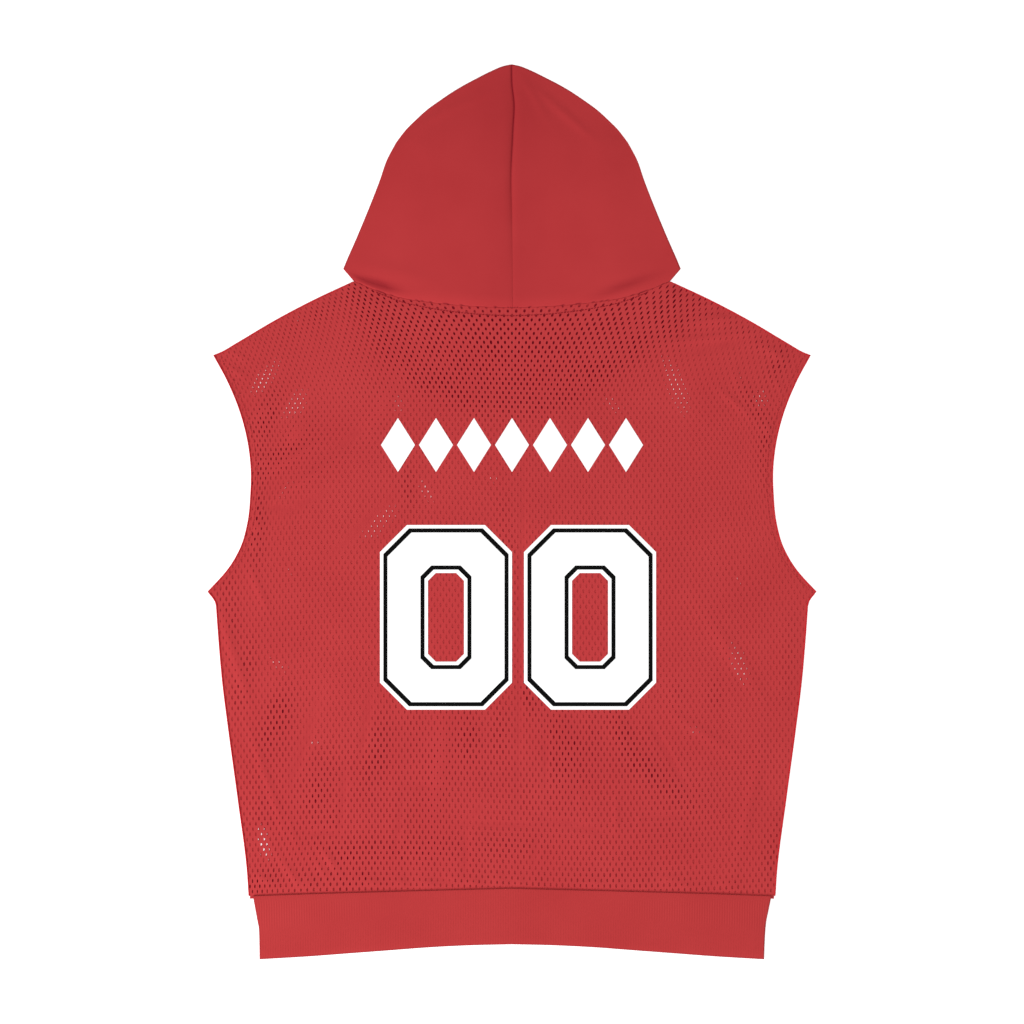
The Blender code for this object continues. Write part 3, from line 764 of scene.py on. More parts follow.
def perforated_tree():
    """Cloth with a staggered grid of upright holes."""
    lengths = ("Pitch", "Row", "Hole width", "Hole height", "Middle")
    counts = ("Columns", "Rows", "Seed")
    tree, given = new_tree("perforated_cloth", Float=lengths, Int=counts, Material=["Cloth"])
    sheet = given["Geometry"]

    # A staggered grid of points over the pattern
    wide = math_node(tree, "MULTIPLY", given["Pitch"], math_node(tree, "SUBTRACT", given["Columns"], 1.0))
    tall = math_node(tree, "MULTIPLY", given["Row"], math_node(tree, "SUBTRACT", given["Rows"], 1.0))
    sizes = {"Size X": wide, "Size Y": tall, "Vertices X": given["Columns"], "Vertices Y": given["Rows"]}
    grid = add_node(tree, "GeometryNodeMeshGrid", sizes)
    place = add_node(tree, "GeometryNodeInputPosition")
    height = add_node(tree, "ShaderNodeSeparateXYZ", {0: place}).outputs["Y"]
    row = math_node(tree, "ROUND", math_node(tree, "DIVIDE", height, given["Row"]))
    odd = math_node(tree, "FLOORED_MODULO", row, 2.0)
    half = math_node(tree, "MULTIPLY", odd, math_node(tree, "MULTIPLY", given["Pitch"], 0.5))
    lattice = move_points(tree, grid, Offset=combine(tree, half, given["Middle"]))

    # Leave out the points whose cell lies wholly off the cloth
    near = add_node(tree, "GeometryNodeProximity", {"Geometry": sheet, "Sample Position": place})
    reach = math_node(tree, "MULTIPLY", given["Pitch"], CELL_REACH)
    away = math_node(tree, "GREATER_THAN", near.outputs["Distance"], reach)
    kept = add_node(tree, "GeometryNodeDeleteGeometry", {"Geometry": lattice, "Selection": away})
    middles = stored(tree, kept, "cell", place, "FLOAT_VECTOR")

    # One cell: a hexagon that tiles, with its hole
    circle = add_node(tree, "GeometryNodeMeshCircle", {"Vertices": 6, "Radius": 1.0}, fill_type="NGON")
    half_pitch = math_node(tree, "DIVIDE", given["Pitch"], sqrt(3))
    two_thirds = math_node(tree, "MULTIPLY", given["Row"], 2 / 3)
    fit = {"Rotation": (0, 0, pi / 2), "Scale": combine(tree, two_thirds, half_pitch, 1.0)}
    sized = add_node(tree, "GeometryNodeTransform", {"Geometry": circle, **fit})
    inner = add_node(tree, "GeometryNodeExtrudeMesh", {"Mesh": sized, "Offset Scale": 0.0})
    top = inner.outputs["Top"]
    hole_x = math_node(tree, "DIVIDE", given["Hole width"], given["Pitch"])
    hole_y = math_node(tree, "DIVIDE", given["Hole height"], math_node(tree, "MULTIPLY", two_thirds, 2.0))
    drawn_in = vector_node(tree, "MULTIPLY", place, combine(tree, hole_x, hole_y, 1.0))
    rim = move_points(tree, inner, Selection=top, Position=drawn_in)
    cell = remove_faces(tree, stored(tree, rim, "rim", 1.0, Selection=top), top)
    cells = add_node(tree, "GeometryNodeInstanceOnPoints", {"Points": middles, "Instance": cell})
    real = add_node(tree, "GeometryNodeRealizeInstances", {"Geometry": cells})
    joined = add_node(tree, "GeometryNodeMergeByDistance", {"Geometry": real, "Distance": JOIN_DISTANCE})

    # No two holes are quite the same size: knitting pulls some nearly shut, and so do creases
    middle = named(tree, "cell", "FLOAT_VECTOR")
    spot = vector_node(tree, "ADD", middle, combine(tree, z=given["Seed"]))
    patchy = noise_node(tree, spot, HOLE_CLOUDS, 6.0, 0.7)
    size = range_node(tree, patchy, (0.3, 0.7), (SMALLEST_HOLE, LARGEST_HOLE))
    open_share = math_node(tree, "SUBTRACT", 1.0, looked_up(tree, sheet, "shut", middle))
    growth = math_node(tree, "SUBTRACT", math_node(tree, "MULTIPLY", size, open_share), 1.0)
    change = math_node(tree, "MULTIPLY", growth, named(tree, "rim"))
    outward = vector_node(tree, "SUBTRACT", place, middle)
    varied = move_points(tree, joined, Offset=vector_node(tree, "SCALE", outward, Scale=change))

    # Carry the flat cloth to where it is laid, and let it keep its place in the pattern for the material
    remembered = stored(tree, varied, "pattern", place, "FLOAT_VECTOR")
    # The fold value, which is painted shade, goes with each point too
    shaded = stored(tree, remembered, "fold", looked_up(tree, sheet, "fold", place))
    down = move_points(tree, shaded, Position=looked_up(tree, sheet, "laid", place, "FLOAT_VECTOR"))
    area = add_node(tree, "GeometryNodeInputMeshFaceArea")
    clean = remove_faces(tree, down, math_node(tree, "LESS_THAN", area, SLIVER_AREA))
    soft = add_node(tree, "GeometryNodeSetShadeSmooth", {"Geometry": clean})
    finish_tree(tree, soft, given["Cloth"])
    return tree


perforated = perforated_tree()
print("Perforated cloth tree:", len(perforated.nodes), "nodes")

# %% Punch the holes
CLOTH_COLUMNS, CLOTH_ROWS, CLOTH_MIDDLE = 113, 131, -8 * ROW
cloth_grid = dict(pitch=PITCH * MM, row=ROW * MM, columns=CLOTH_COLUMNS, rows=CLOTH_ROWS)
cloth_grid.update(middle=CLOTH_MIDDLE * MM, cloth=mesh_red)
BACK_HOLE = dict(hole_width=1.7 * MM, hole_height=4.2 * MM)
FRONT_HOLE = dict(hole_width=1.8 * MM, hole_height=2.8 * MM)
back_mesh = grow("back_mesh", back_pattern, perforated, seed=3, **cloth_grid, **BACK_HOLE)
front_mesh = grow("front_mesh", front_pattern, perforated, seed=8, **cloth_grid, **FRONT_HOLE)
print("Mesh cloth:", triangles(back_mesh), "and", triangles(front_mesh), "triangles")

# %% [markdown]
# ## The hood
#
# The hood is two halves of jersey, sewn together down the middle. Lying flat, each half is one piece of
# cloth folded round its side and its top, with the face opening underneath. It is made as a folded sheet:
# an upper layer and a lower layer that share a rounded edge, with a wall of real thickness. The upper
# layer dips at the centre seam, rolls over itself just above the neck, and is slack in between.

# %% Hood shape
HOOD_LOFT = 2.2
HOOD_ACROSS, HOOD_UP = 150.0, 200.0
HOOD_MIDDLE = 0.02
HOOD_FOLDS = (
    # x, height, half_length, half_width, lean, rise
    (-137, 675, 24, 4.5, 104, -1.35), (-116, 686, 46, 9, 104, 0.80), (112, 673, 30, 5.0, 70, -0.60),
    (104, 684, 46, 11, 72, 0.40), (-66, 828, 34, 12, 42, 0.40), (62, 822, 44, 13, -30, -0.30),
    (52, 745, 60, 20, -12, 0.50), (-60, 748, 60, 20, 20, 0.50), (-90, 828, 18, 3.5, 42, 0.55),
    (-70, 846, 26, 3.5, 60, 0.60), (-40, 858, 30, 3.5, 62, 0.50), (44, 852, 30, 3.5, -50, 0.60),
    (62, 836, 24, 3.5, -50, 0.50), (22, 860, 24, 3.5, -30, 0.50), (-90, 790, 40, 10, -20, -0.25),
)
TROUGHS = HOOD_FOLDS[0], HOOD_FOLDS[2]
NECK_LIP, LIP_WIDTH = 1.5, 9.0
SEAM_WAVE = (
    # height, x: the centre seam isn't quite straight
    (651, 0.8), (739, 0.0), (784, -1.0), (829, 1.0), (856, 2.0), (874, 0.0), (894.5, -0.5),
)


def hood_share(fold_step):
    """Shares from the seam to the fold, with rows close together at both."""
    seam = np.array([0, 0.5, 1.1, 1.8, 2.8, 4.5]) / HOOD_ACROSS
    bend = 1 - np.array([2.4, 1.5, 0.9, 0.5, 0.2, 0.0]) / fold_step
    return np.concatenate([seam, np.linspace(0, 1, 58)[2:-1], bend])


def hood_layer(u, v, folded_under):
    """One layer of the right half of the hood as a grid of (x, height)."""
    top_x = HOOD_MIDDLE + u * (HOOD_KINK[0] - HOOD_MIDDLE)
    top = points_at(top_x, smooth(HOOD_TOP, top_x))
    past = np.clip((v - HOOD_CORNER_ROW) / (1 - HOOD_CORNER_ROW), 0, 1)
    height = HOOD_CORNER[1] + past * (HOOD_KINK[1] - HOOD_CORNER[1])
    side = points_at(smooth(HOOD_SIDE, height), height)
    rising = v < HOOD_CORNER_ROW
    turn = v[rising, None] / HOOD_CORNER_ROW
    side[rising] = NECK_POINT + (np.array(HOOD_CORNER) - NECK_POINT) * turn
    bottom_x = u * NECK_POINT[0]
    neckline = front_neck(bottom_x) if folded_under else smooth(BACK_NECK, bottom_x)
    inner_height = neckline[0] + v * (LENGTH - neckline[0])
    opening = np.maximum(smooth(FACE_OPENING, inner_height), 0) if folded_under else 0
    inner = points_at(opening + HOOD_MIDDLE, inner_height)
    bottom = points_at(bottom_x, neckline)
    bottom[0] = inner[0]
    top[0] = inner[-1]
    return patch(bottom, top, inner, side, u, v)


hood_flat = hood_layer(hood_share(HOOD_ACROSS), hood_share(HOOD_UP), False)
print("Hood, right half:", hood_flat.shape[:2], "points")

# %% Hood relief
def hood_creases(table, flat, from_fold):
    """The ridges and troughs of the hood's upper layer."""
    x, height = split(flat)
    from_neck = height - smooth(BACK_NECK, abs(x))
    return soft_folds(table, x, height) * ease(from_fold / 9) * ease(from_neck / 4)


def hood_rise(flat, from_fold):
    """How far the hood's upper layer stands off the lower one."""
    x, height = split(flat)
    from_neck = height - smooth(BACK_NECK, abs(x))
    lip = NECK_LIP * ease(from_neck / LIP_WIDTH)
    inside = ease(from_fold / 60) * (lip + (HOOD_LOFT - NECK_LIP) * ease((from_neck - LIP_WIDTH) / 34))
    rise = np.maximum(inside + hood_creases(HOOD_FOLDS, flat, from_fold), 0)
    high = ease((from_neck - 30) / 90)
    seam_dip = (0.25 + 0.35 * high) * bell(x, 1.3) + 0.15 * high * bell(x, 5)
    neck_dip = 0.6 * (1 - ease(from_neck / 2.6))
    return rise * (1 - (0.1 + 0.3 * high) * bell(x, 4)) - (seam_dip + neck_dip) * ease(from_fold / 3)


def hood_shade(outer, flat, from_fold):
    """How deep the painted shade on the hood's red is: at its crown, seam, troughs and folded edge, and over
    its hollows.
    """
    x, height = split(outer)
    crown = 0.11 * ease((height - 720) / 150) + 0.08 * bell(x, 30)
    seam = 0.6 * bell(x, 0.9) * ease((height - 720) / 100)
    trough = 0.55 * np.clip(-hood_creases(TROUGHS, flat, from_fold), 0, 1)
    hollow = (height < smooth(BACK_NECK, abs(x))) * pocket_shade(*split(flat))
    return np.maximum(0.55 * bell(from_fold, 0.9), crown + trough + seam + hollow)


CROWN = points_at(np.array([40.0]), np.array([800.0]))
print("The crown is", round(float(hood_rise(CROWN, np.array([60.0]))[0]), 2), "mm hollow")

# %% Hood halves
def hood_half(name, mirror):
    """Half of the hood, folded under along its side and its top."""
    u = hood_share(HOOD_ACROSS)
    v = np.concatenate([[0, 0.006, 0.014, 0.03, 0.05], hood_share(HOOD_UP)[7:]])
    from_fold = np.minimum((1 - u[None]) * HOOD_ACROSS, (1 - v[:, None]) * HOOD_UP)
    middle = HOOD_WALL + SEAM_GAP / 2
    inset = points_at(HOOD_WALL * u[None], HOOD_WALL * v[:, None])
    rows, columns = len(v), len(u)
    count = rows * columns
    points, faces, shades = [], [], []
    for folded_under in (False, True):
        outer = hood_layer(u, v, folded_under)
        first = count * len(points)
        for flat, half_gap in ((outer, middle), (outer - inset, SEAM_GAP / 2)):
            faces.extend(grid_faces(rows, columns, first=count * len(points)))
            flat = flat * (mirror, 1)
            bend = round_edge(from_fold, half_gap)
            z = middle - bend if folded_under else middle + bend + hood_rise(flat, from_fold)
            flat[..., 0] += smooth(SEAM_WAVE, flat[..., 1]) * bell(flat[..., 0], 40)
            points.append(placed(flat, z))
            shades.append(hood_shade(outer, flat, from_fold))
        for edge in (first + np.arange(columns), first + np.arange(rows) * columns):
            faces.extend((a, b, b + count, a + count) for a, b in zip(edge, edge[1:]))
    return turn_faces(make_piece(name, np.array(points), faces, jersey_red, fold=np.array(shades)))


hood_left_cloth = hood_half("hood_left_cloth", -1)
hood_right_cloth = hood_half("hood_right_cloth", 1)
print("Hood halves:", triangles(hood_left_cloth), "and", triangles(hood_right_cloth), "triangles")

# %% [markdown]
# ## The hem band
#
# The band is a tube of fine rib knit, pressed flat. Its ribs are only two and a half millimetres apart,
# over two hundred of them on each side, so again a rule makes them: a plain flattened tube that knows how
# far along the cloth each point is, and a short Geometry Nodes tree that raises a soft wave along the
# surface's own normal. A Solidify modifier then gives the knit its thickness.

# %% Rib tree
def rib_tree():
    """Ribs along the cloth, raised on its own normal."""
    tree, given = new_tree("ribbed_cloth", Float=["Rib pitch", "Rib rise"], Material=["Cloth"])
    turns = math_node(tree, "DIVIDE", named(tree, "along"), given["Rib pitch"])
    wave = math_node(tree, "SINE", math_node(tree, "MULTIPLY", turns, 2 * pi))
    lift = math_node(tree, "MULTIPLY", wave, math_node(tree, "MULTIPLY", given["Rib rise"], 0.5))
    normal = add_node(tree, "GeometryNodeInputNormal")
    ribbed = move_points(tree, given["Geometry"], Offset=vector_node(tree, "SCALE", normal, Scale=lift))
    finish_tree(tree, ribbed, given["Cloth"])
    return tree


ribbed = rib_tree()
print("Rib tree:", len(ribbed.nodes), "nodes")

# %% Ribbed band
BAND_WALL, KNIT_WALL, RIB_RISE = 1.5, 0.9, 0.36
BAND_INSET, BAND_COLUMNS = 0.3, 404
BAND_ROWS = np.array([0, 0.7, 1.8, 8, 16, 24, 32, 40, 48, 56, 60, 61.8, 62.8, 63.3])


def all_round(upper, lower):
    """One ring from an upper layer and a lower one, which runs back under it."""
    return np.concatenate([upper, lower[:, -2:0:-1]], axis=1)


def band_tube():
    """The band as a flattened tube of the cloth's middle surface."""
    middle = BAND_WALL + SEAM_GAP / 2
    rows = BAND_ROWS
    bend = 1 - np.array([1.6, 1.0, 0.6, 0.25, 0.0]) / BAND_SIDE[0][1]
    right = np.concatenate([np.linspace(0, 0.992, BAND_COLUMNS), bend])
    share = np.concatenate([-right[:0:-1], right])
    widths = smooth(BAND_SIDE, rows) - BAND_INSET
    low_x = share * widths[0]
    high_x = share * widths[-1]
    top = points_at(high_x, smooth(BAND_SEAM, abs(high_x)) - SEAM_GAP)
    low = points_at(low_x, smooth(HEM, abs(low_x)))
    side = points_at(widths, rows)
    side[0] = low[-1]
    side[-1] = top[-1]
    flat = patch(low, top, side * (-1, 1), side, (share + 1) / 2, rows / rows[-1])
    from_fold = (1 - abs(share[None])) * widths[0] + np.zeros((len(rows), 1))
    tucked = 1 - 0.08 * (1 - ease((rows[-1] - rows) / 2.0)) - 0.4 * (1 - ease(rows / 1.8))
    bulge = 0.25 * np.sin(pi * rows / rows[-1])[:, None] * ease(from_fold / 12)
    bend_height = round_edge(from_fold, middle - 0.5 * BAND_WALL)
    z = all_round(middle + bend_height * tucked[:, None] + bulge, middle - bend_height)
    ring = all_round(flat, flat)
    along = all_round(flat[..., 0], 2 * widths[:, None] - flat[..., 0]) * MM
    # Painted shade along the band's seams and its folded edges
    seam = 0.05 * (1 - ease((rows[-1] - rows) / 1.4)) + 0.5 * (1 - ease(rows / 1.2))
    values = dict(
        along=along,
        fold=np.maximum(seam[:, None], 0.5 * bell(all_round(from_fold, from_fold), 0.8)),
        pattern=along[..., None] * (1, 0, 0),
    )
    faces = grid_faces(*z.shape, closed=True)
    return make_piece("band_tube", placed(ring, z), faces, rib_red, **values)


rib_sizes = dict(rib_pitch=RIB_PITCH * MM, rib_rise=RIB_RISE * MM)
band_cloth = grow("band_cloth", band_tube(), ribbed, cloth=rib_red, **rib_sizes)
band_cloth = thicken(band_cloth, KNIT_WALL)
print("Band:", triangles(band_cloth), "triangles")

# %% [markdown]
# ## Seams, turned edges and allowances
#
# A maker never leaves cloth raw. At each armhole the mesh is turned under and stitched, at the side and
# shoulder seams the layers are joined in a small roll, and behind the neck and hem seams a strip of
# doubled cloth hides the holes. The rolls are tubes along a line, which Geometry Nodes sweep from a path.
# The strips are narrow sheets just below the back's surface.

# %% Seam rolls
SIDES = (("left", -1), ("right", 1))
SIDE_ROLL, ARMHOLE_ROLL, SHOULDER_ROLL, HOOD_ROLL, CHIN_ROLL = 0.7, 0.6, 0.55, 0.42, 0.4
HOOD_SINK, CHIN_SINK = 0.28, 0.15
seam_rolls = []


def sweep_tree():
    """A soft roll of cloth along a path."""
    tree, given = new_tree("seam_roll", Float=["Radius"], Material=["Cloth"])
    path = add_node(tree, "GeometryNodeMeshToCurve", {"Mesh": given["Geometry"]})
    ring = add_node(tree, "GeometryNodeCurvePrimitiveCircle", {"Resolution": 8, "Radius": given["Radius"]})
    inputs = {"Curve": path, "Profile Curve": ring, "Fill Caps": True}
    tube = add_node(tree, "GeometryNodeCurveToMesh", inputs)
    soft = add_node(tree, "GeometryNodeSetShadeSmooth", {"Geometry": tube})
    finish_tree(tree, soft, given["Cloth"])
    return tree


def path_along(name, line, z):
    """A line of joined edges through points of (x, height)."""
    edges = [(i, i + 1) for i in range(len(line) - 1)]
    return make_piece(name + "_path", placed(line, z), [], edges=edges)


def edge_line(heights, inset, mirror):
    """A line along the side of the body, a little in from its edge, as (x, height)."""
    return points_at((panel_edge(heights) - inset) * mirror, heights)


def add_roll(name, line, z, radius, cloth):
    """A roll of cloth along a line of (x, height)."""
    seam_rolls.append(grow(name, path_along(name, line, z), roll_tree, radius=radius * MM, cloth=cloth))


roll_tree = sweep_tree()
ROLL_MIDDLE = 0.9
side_heights = np.linspace(SIDE[0][0], UNDERARM[-1][0] - 1.5, 90)
armhole_heights = np.linspace(UNDERARM[-1][0], SHOULDER_TIP[1] - 1, 90)
shoulder_x = np.linspace(NECK_POINT[0] + 4, SHOULDER_TIP[0] - 1, 50)
for side_name, mirror in SIDES:
    shoulder_line = points_at(shoulder_x * mirror, smooth(SHOULDER, shoulder_x) - 0.9)
    side_line = edge_line(side_heights, SIDE_ROLL, mirror)
    add_roll("side_seam_" + side_name, side_line, ROLL_MIDDLE, SIDE_ROLL, edge_red)
    armhole_line = edge_line(armhole_heights, ARMHOLE_ROLL, mirror)
    add_roll("armhole_edge_" + side_name, armhole_line, ROLL_MIDDLE + 0.1, ARMHOLE_ROLL, edge_red)
    add_roll("shoulder_seam_" + side_name, shoulder_line, ROLL_MIDDLE, SHOULDER_ROLL, edge_red)

seam_heights = np.linspace(LENGTH - 1.0, BACK_NECK[0][1] + 0.5, 120)
seam_line = points_at(smooth(SEAM_WAVE, seam_heights), seam_heights)
seam_top = 2 * HOOD_WALL + SEAM_GAP / 2 + hood_rise(seam_line * (0, 1), LENGTH - seam_heights)
# The hood and chin seams are rolls in a darker red, painted shade for their grooves
add_roll("hood_seam", seam_line, seam_top - HOOD_SINK, HOOD_ROLL, shaded_seam_red)
chin_line = points_at(0, np.linspace(FRONT_NECK + 2, FACE_OPENING[2][0] - 2, 30))
add_roll("chin_seam", chin_line, HOOD_WALL - CHIN_SINK, CHIN_ROLL, shaded_seam_red)
print("Seam rolls:", [roll.name for roll in seam_rolls])

# %% Strips under the mesh
STRIP_DROP, UNDER_BACK = 0.4, 1.0
TAPE_ABOVE, TAPE_DEPTH, TAPE_HALF = 3.0, 8.5, 156
HEM_STRIP, FRONT_STRIP, EDGE_INSETS = (-3.0, 5.0), (-2.0, 4.0), (0.9, 7.0)
strips = []


def add_strip(name, outer, inner, drop=STRIP_DROP, level=None, shade=0.0):
    """A narrow sheet between two lines of (x, height), just under the back panel or at its own level."""
    t = np.linspace(0, 1, 4)[:, None, None]
    flat = (1 - t) * outer + t * inner
    size = flat.shape[:2]
    z = level or back_height(*split(flat)) - drop
    piece = make_piece(name, placed(flat, z), grid_faces(*size), mesh_red, fold=np.full(size, shade))
    strips.append(turn_faces(piece, upwards=True))


neck_x = np.linspace(-150, 150, 121)
neck_line = points_at(neck_x, panel_top(neck_x) + TAPE_ABOVE)
tape_line = neck_line - points_at(0, TAPE_DEPTH * (1 - (neck_x / TAPE_HALF) ** 2) + TAPE_ABOVE)
add_strip("neck_allowance", neck_line, tape_line, shade=0.28)

hem_x = np.linspace(-262, 262, 161)
hem_line = points_at(hem_x, smooth(BAND_SEAM, abs(hem_x)) + HEM_STRIP[0])
add_strip("hem_allowance", hem_line, hem_line + (0, HEM_STRIP[1]), 0.5 * STRIP_DROP)

front_x = np.linspace(-157, 157, 161)
front_line = points_at(front_x, front_neck(front_x) + FRONT_STRIP[0])
front_end = front_line + (0, FRONT_STRIP[1])
add_strip("front_neck_allowance", front_line, front_end, level=UNDER_BACK, shade=0.8)

turned_heights = np.linspace(UNDERARM[-1][0] + 2, SHOULDER_TIP[1] - 4, 100)
for side_name, mirror in SIDES:
    outer, inner = (edge_line(turned_heights, inset, mirror) for inset in EDGE_INSETS)
    add_strip("armhole_turning_" + side_name, outer, inner)
print("Strips:", [piece.name for piece in strips])

# %% [markdown]
# ## Stitches
#
# The turned edges and the neck strip are held by rows of stitches. Each stitch is one tiny rounded
# thread, and Geometry Nodes set one every three millimetres along a path, turned to follow it.

# %% Stitches
STITCH_STEP, STITCH_LENGTH, STITCH_LIFT = 3.0, 2.5, 0.12
stitch_rows = []


def stitch_tree():
    """Short stitches, evenly spaced along a path."""
    lengths = ("Step", "Stitch length", "Stitch width")
    tree, given = new_tree("stitches", Float=lengths, Material=["Thread"])
    path = add_node(tree, "GeometryNodeMeshToCurve", {"Mesh": given["Geometry"]})
    spacing = {"Curve": path, "Length": given["Step"]}
    points = add_node(tree, "GeometryNodeCurveToPoints", spacing, mode="LENGTH")
    along = {"Vector": points.outputs["Tangent"]}
    facing = add_node(tree, "FunctionNodeAlignRotationToVector", along, axis="X")
    ball = add_node(tree, "GeometryNodeMeshUVSphere", {"Segments": 6, "Rings": 4, "Radius": 0.5})
    size = combine(tree, given["Stitch length"], given["Stitch width"], given["Stitch width"])
    inputs = {"Points": points, "Instance": ball, "Rotation": facing, "Scale": size}
    stitches = add_node(tree, "GeometryNodeInstanceOnPoints", inputs)
    finish_tree(tree, stitches, given["Thread"])
    return tree


def sew(name, line, width, thread):
    """A row of stitches along a line of (x, height) on the back panel."""
    path = path_along(name, line, back_height(*split(line)) + STITCH_LIFT)
    sizes = dict(step=STITCH_STEP * MM, stitch_length=STITCH_LENGTH * MM, stitch_width=width * MM)
    stitch_rows.append(grow(name, path, stitching, thread=thread, **sizes))


thread_red = cloth_material("thread_red", (168, 44, 50), (0.4, 0.4, 0.05), 0.6, 0.05)
stitching = stitch_tree()
# The neck row is a real row of stitches, and its darker red paints the shadow along the neck strip's edge
sew("neck_stitches", tape_line[6:-6] + (0, 0.5), 0.85, shaded_seam_red)
for side_name, mirror in SIDES:
    sew("armhole_stitches_" + side_name, edge_line(turned_heights, 6.2, mirror), 0.42, thread_red)
print("Rows of stitches:", [row.name for row in stitch_rows], triangles(*stitch_rows))

# %% [markdown]
# ## The print
#
# A row of plain diamonds and a plain placeholder number, two block-shaped noughts, are printed on the
# back. Printed ink is a thin opaque film that fills the holes, so each shape is a thin sheet that follows
# the back panel's own height, and its black line is a band of faces with another material.

# %% Print film
INK_RISE, INK_THICKNESS = 0.16, 0.10


def ink_material(name, colour, roughness):
    """Printed ink: nearly flat in tone, with the mesh just felt through it."""
    material, tree, shader = new_material(name, roughness)
    place = add_node(tree, "ShaderNodeTexCoord").outputs["Object"]
    weave = add_node(tree, "ShaderNodeTexVoronoi", {"Vector": place, "Scale": 210.0}, feature="SMOOTH_F1")
    relief = add_node(tree, "ShaderNodeBump", {"Strength": 0.12, "Distance": 0.1 * MM, "Height": weave})
    tone = mix_node(tree, noise_node(tree, place, 60.0, 3.0), paint(colour, 0.97), paint(colour, 1.03))
    feed(tree, shader, {"Base Color": tone, "Normal": relief})
    return material


def ink_piece(name, flat, faces, materials, face_materials):
    """A thin film of ink on the back panel."""
    piece = make_piece(name, placed(flat, back_height(*split(flat)) + INK_RISE), faces)
    for material in materials:
        piece.data.materials.append(material)
    piece.data.polygons.foreach_set("material_index", face_materials)
    piece = thicken(piece, INK_THICKNESS)
    piece.data.set_sharp_from_angle(angle=radians(40))
    return piece


white_ink = ink_material("white_ink", (252, 252, 252), roughness=0.6)
black_ink = ink_material("black_ink", (5, 5, 5), roughness=0.7)
print("Inks:", white_ink.name, "and", black_ink.name)

# %% Noughts and diamonds
NOUGHT_HALF = (66.0, 92.3)
NOUGHT_HEIGHT, DIAMOND_HEIGHT = 341.7, 514.0
CORNER_CUT, CUT_SHRINK, EDGE_STEPS = 27, 0.40, 12
RIM, LINE, STROKE = 3.4, 4.1, 48.0
STEPS = (0, RIM, RIM + LINE, 16, 24, 32, STROKE - RIM - LINE, STROKE - RIM, STROKE)
COLOUR_OF_STEP = (0, 1, 0, 0, 0, 0, 1, 0)


def block_nought(x_middle):
    """Octagonal outlines, each a step in from the last, as a grid of (x, height)."""
    share = np.linspace(0, 1, EDGE_STEPS, endpoint=False)[:, None]
    outlines = []
    for inward in STEPS:
        w, h = np.array(NOUGHT_HALF) - inward
        cut = CORNER_CUT - CUT_SHRINK * inward
        corners = [(w, h - cut), (w - cut, h), (cut - w, h), (-w, h - cut)]
        corners += [(-w, cut - h), (cut - w, -h), (w - cut, -h), (w, cut - h)]
        start = np.array(corners)[:, None]
        outline = (1 - share) * start + share * np.roll(start, -1, axis=0)
        outlines.append(outline.reshape(-1, 2) + (x_middle, NOUGHT_HEIGHT))
    return np.array(outlines)


def diamonds(name, count, pitch, half_width, half_height, cells=8):
    """A row of diamonds, each a small turned grid."""
    share = np.linspace(0, 1, cells + 1)
    a, b = np.meshgrid(share, share)
    points, faces = [], []
    for i in range(count):
        x = (i - (count - 1) / 2) * pitch + (a - b) * half_width
        height = DIAMOND_HEIGHT + (a + b - 1) * half_height
        faces.extend(grid_faces(*a.shape, first=i * a.size))
        points.append(points_at(x, height).reshape(-1, 2))
    return ink_piece(name, np.concatenate(points), faces, (white_ink,), [0] * len(faces))


prints = []
for print_name, x_middle in (("number_left", -66.0), ("number_right", 78.0)):
    flat = block_nought(x_middle)
    faces = grid_faces(*flat.shape[:2], closed=True)
    colours = np.repeat(COLOUR_OF_STEP, flat.shape[1])
    prints.append(ink_piece(print_name, flat, faces, (white_ink, black_ink), colours))
prints.append(diamonds("diamond_row", count=7, pitch=38.0, half_width=17.0, half_height=27.0))
print("Prints:", [piece.name for piece in prints])

# %% [markdown]
# ## Light, floor and camera
#
# The photograph is a studio cut-out: even light, a white ground and a camera straight overhead. A large
# soft lamp above gives the even tone, and one low on the left, which grazes the cloth, makes the creases
# readable. The camera stands nearly three metres up with a long lens, so the flat garment keeps its true
# proportions.

# %% Stage
FLOOR_REACH, FLOOR_DROP = 6.0, 0.0002
WHITE = (1, 1, 1, 1)
floor_white, tree, shader = new_material("white_floor", 0.9, 0.0)
glow = {"Emission Color": WHITE, "Emission Strength": 0.42}
feed(tree, shader, {"Base Color": (0.93, 0.93, 0.93, 1), **glow})
corners = np.array([(-1, -1, 0), (1, -1, 0), (1, 1, 0), (-1, 1, 0)]) * FLOOR_REACH - (0, 0, FLOOR_DROP)
floor = make_piece("floor", corners, [(0, 1, 2, 3)], floor_white)


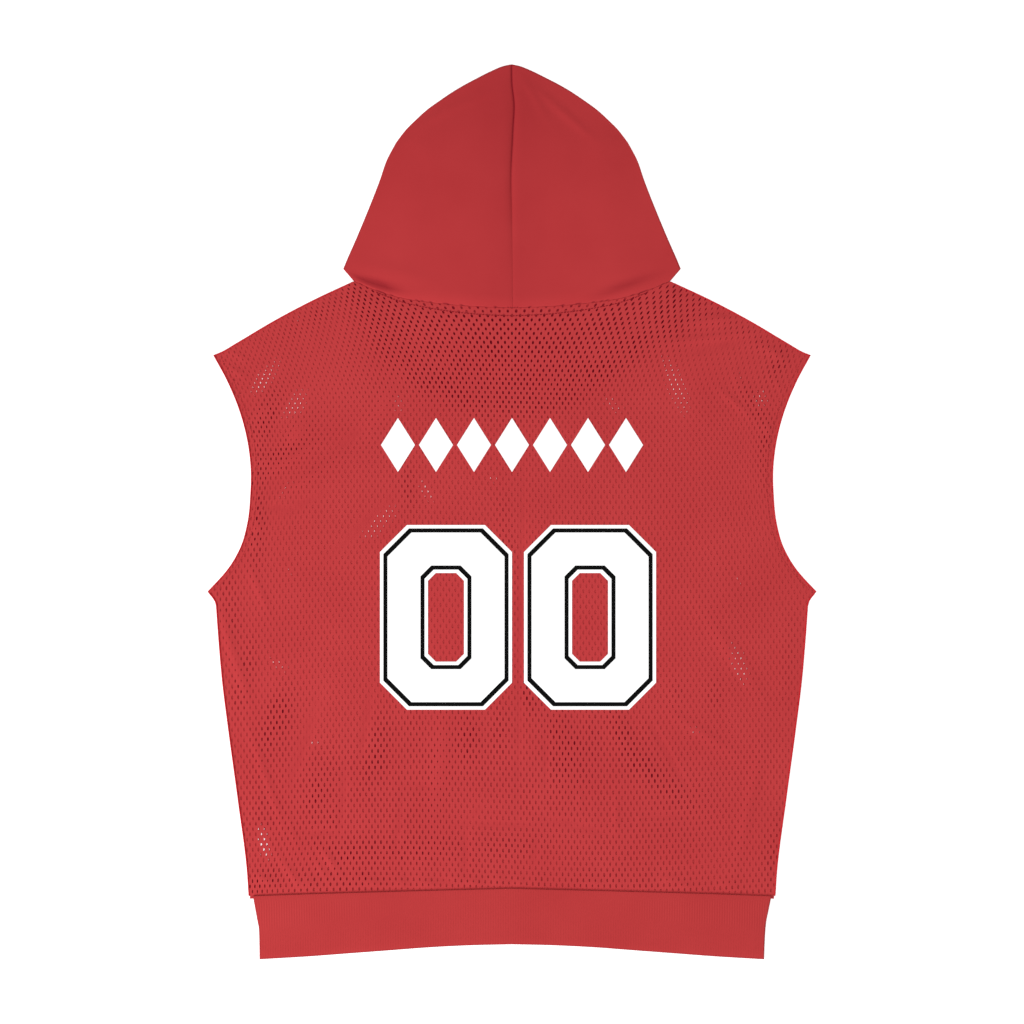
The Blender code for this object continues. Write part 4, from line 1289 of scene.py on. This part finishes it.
def soft_lamp(name, place, size, power):
    """A square soft box that looks at the middle of the garment."""
    lamp = bpy.data.lights.new(name, "AREA")
    lamp.size = size
    lamp.energy = power
    holder = new_object(name, lamp)
    holder.location = place
    holder.rotation_euler = (-Vector(place)).to_track_quat("-Z", "Y").to_euler()


soft_lamp("overhead", place=(0.35, 0.3, 3.4), size=2.6, power=56)
soft_lamp("low_left", place=(-2.2, -2.0, 1.3), size=1.3, power=90)
world = bpy.data.worlds.new("studio")
bpy.context.scene.world = world
world.use_nodes = True
feed(world.node_tree, world.node_tree.nodes["Background"], {"Color": WHITE, "Strength": 0.40})
print("Floor:", 2 * FLOOR_REACH, "m wide, under two lamps and a pale world")

# %% Camera
FRAME_SIZE, PICTURE_MIDDLE = 1.024, -0.00025
camera_data = bpy.data.cameras.new("camera")
camera_data.lens = 100
camera_data.sensor_width = 36
camera = new_object("camera", camera_data)
camera.location = (0, PICTURE_MIDDLE, FRAME_SIZE * camera_data.lens / camera_data.sensor_width)
bpy.context.scene.camera = camera
bpy.context.scene.view_settings.view_transform = "Standard"
print("Camera", round(camera.location.z, 3), "m up")

# %% [markdown]
# ## Attaching the pieces
#
# The last step attaches each piece to the body it moves with, and hides the CAD solid that it stands for.

small_pieces = seam_rolls + strips + stitch_rows + prints
main_pieces = (
    # piece, CAD node, slot, flat size, flat area, what it rests on
    (front_mesh, "front_panel", "mesh", (0.609, 0.615), 0.311, [floor]),
    (back_mesh, "back_panel", "mesh", (0.609, 0.615), 0.327, [front_mesh]),
    (hood_left_cloth, "hood_left", "jersey", (0.337, 0.336), 0.058, [floor]),
    (hood_right_cloth, "hood_right", "jersey", (0.337, 0.336), 0.058, [floor]),
    (band_cloth, "hem_band", "rib", (1.038, 0.071), 0.060, [floor]),
)
for piece, node, slot, flat, area, rests_on in main_pieces:
    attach(piece, "root")
    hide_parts(node)
for piece in small_pieces:
    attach(piece, "root")

shown = [piece for piece, *_ in main_pieces] + small_pieces
print("Triangles in all:", triangles(*shown))
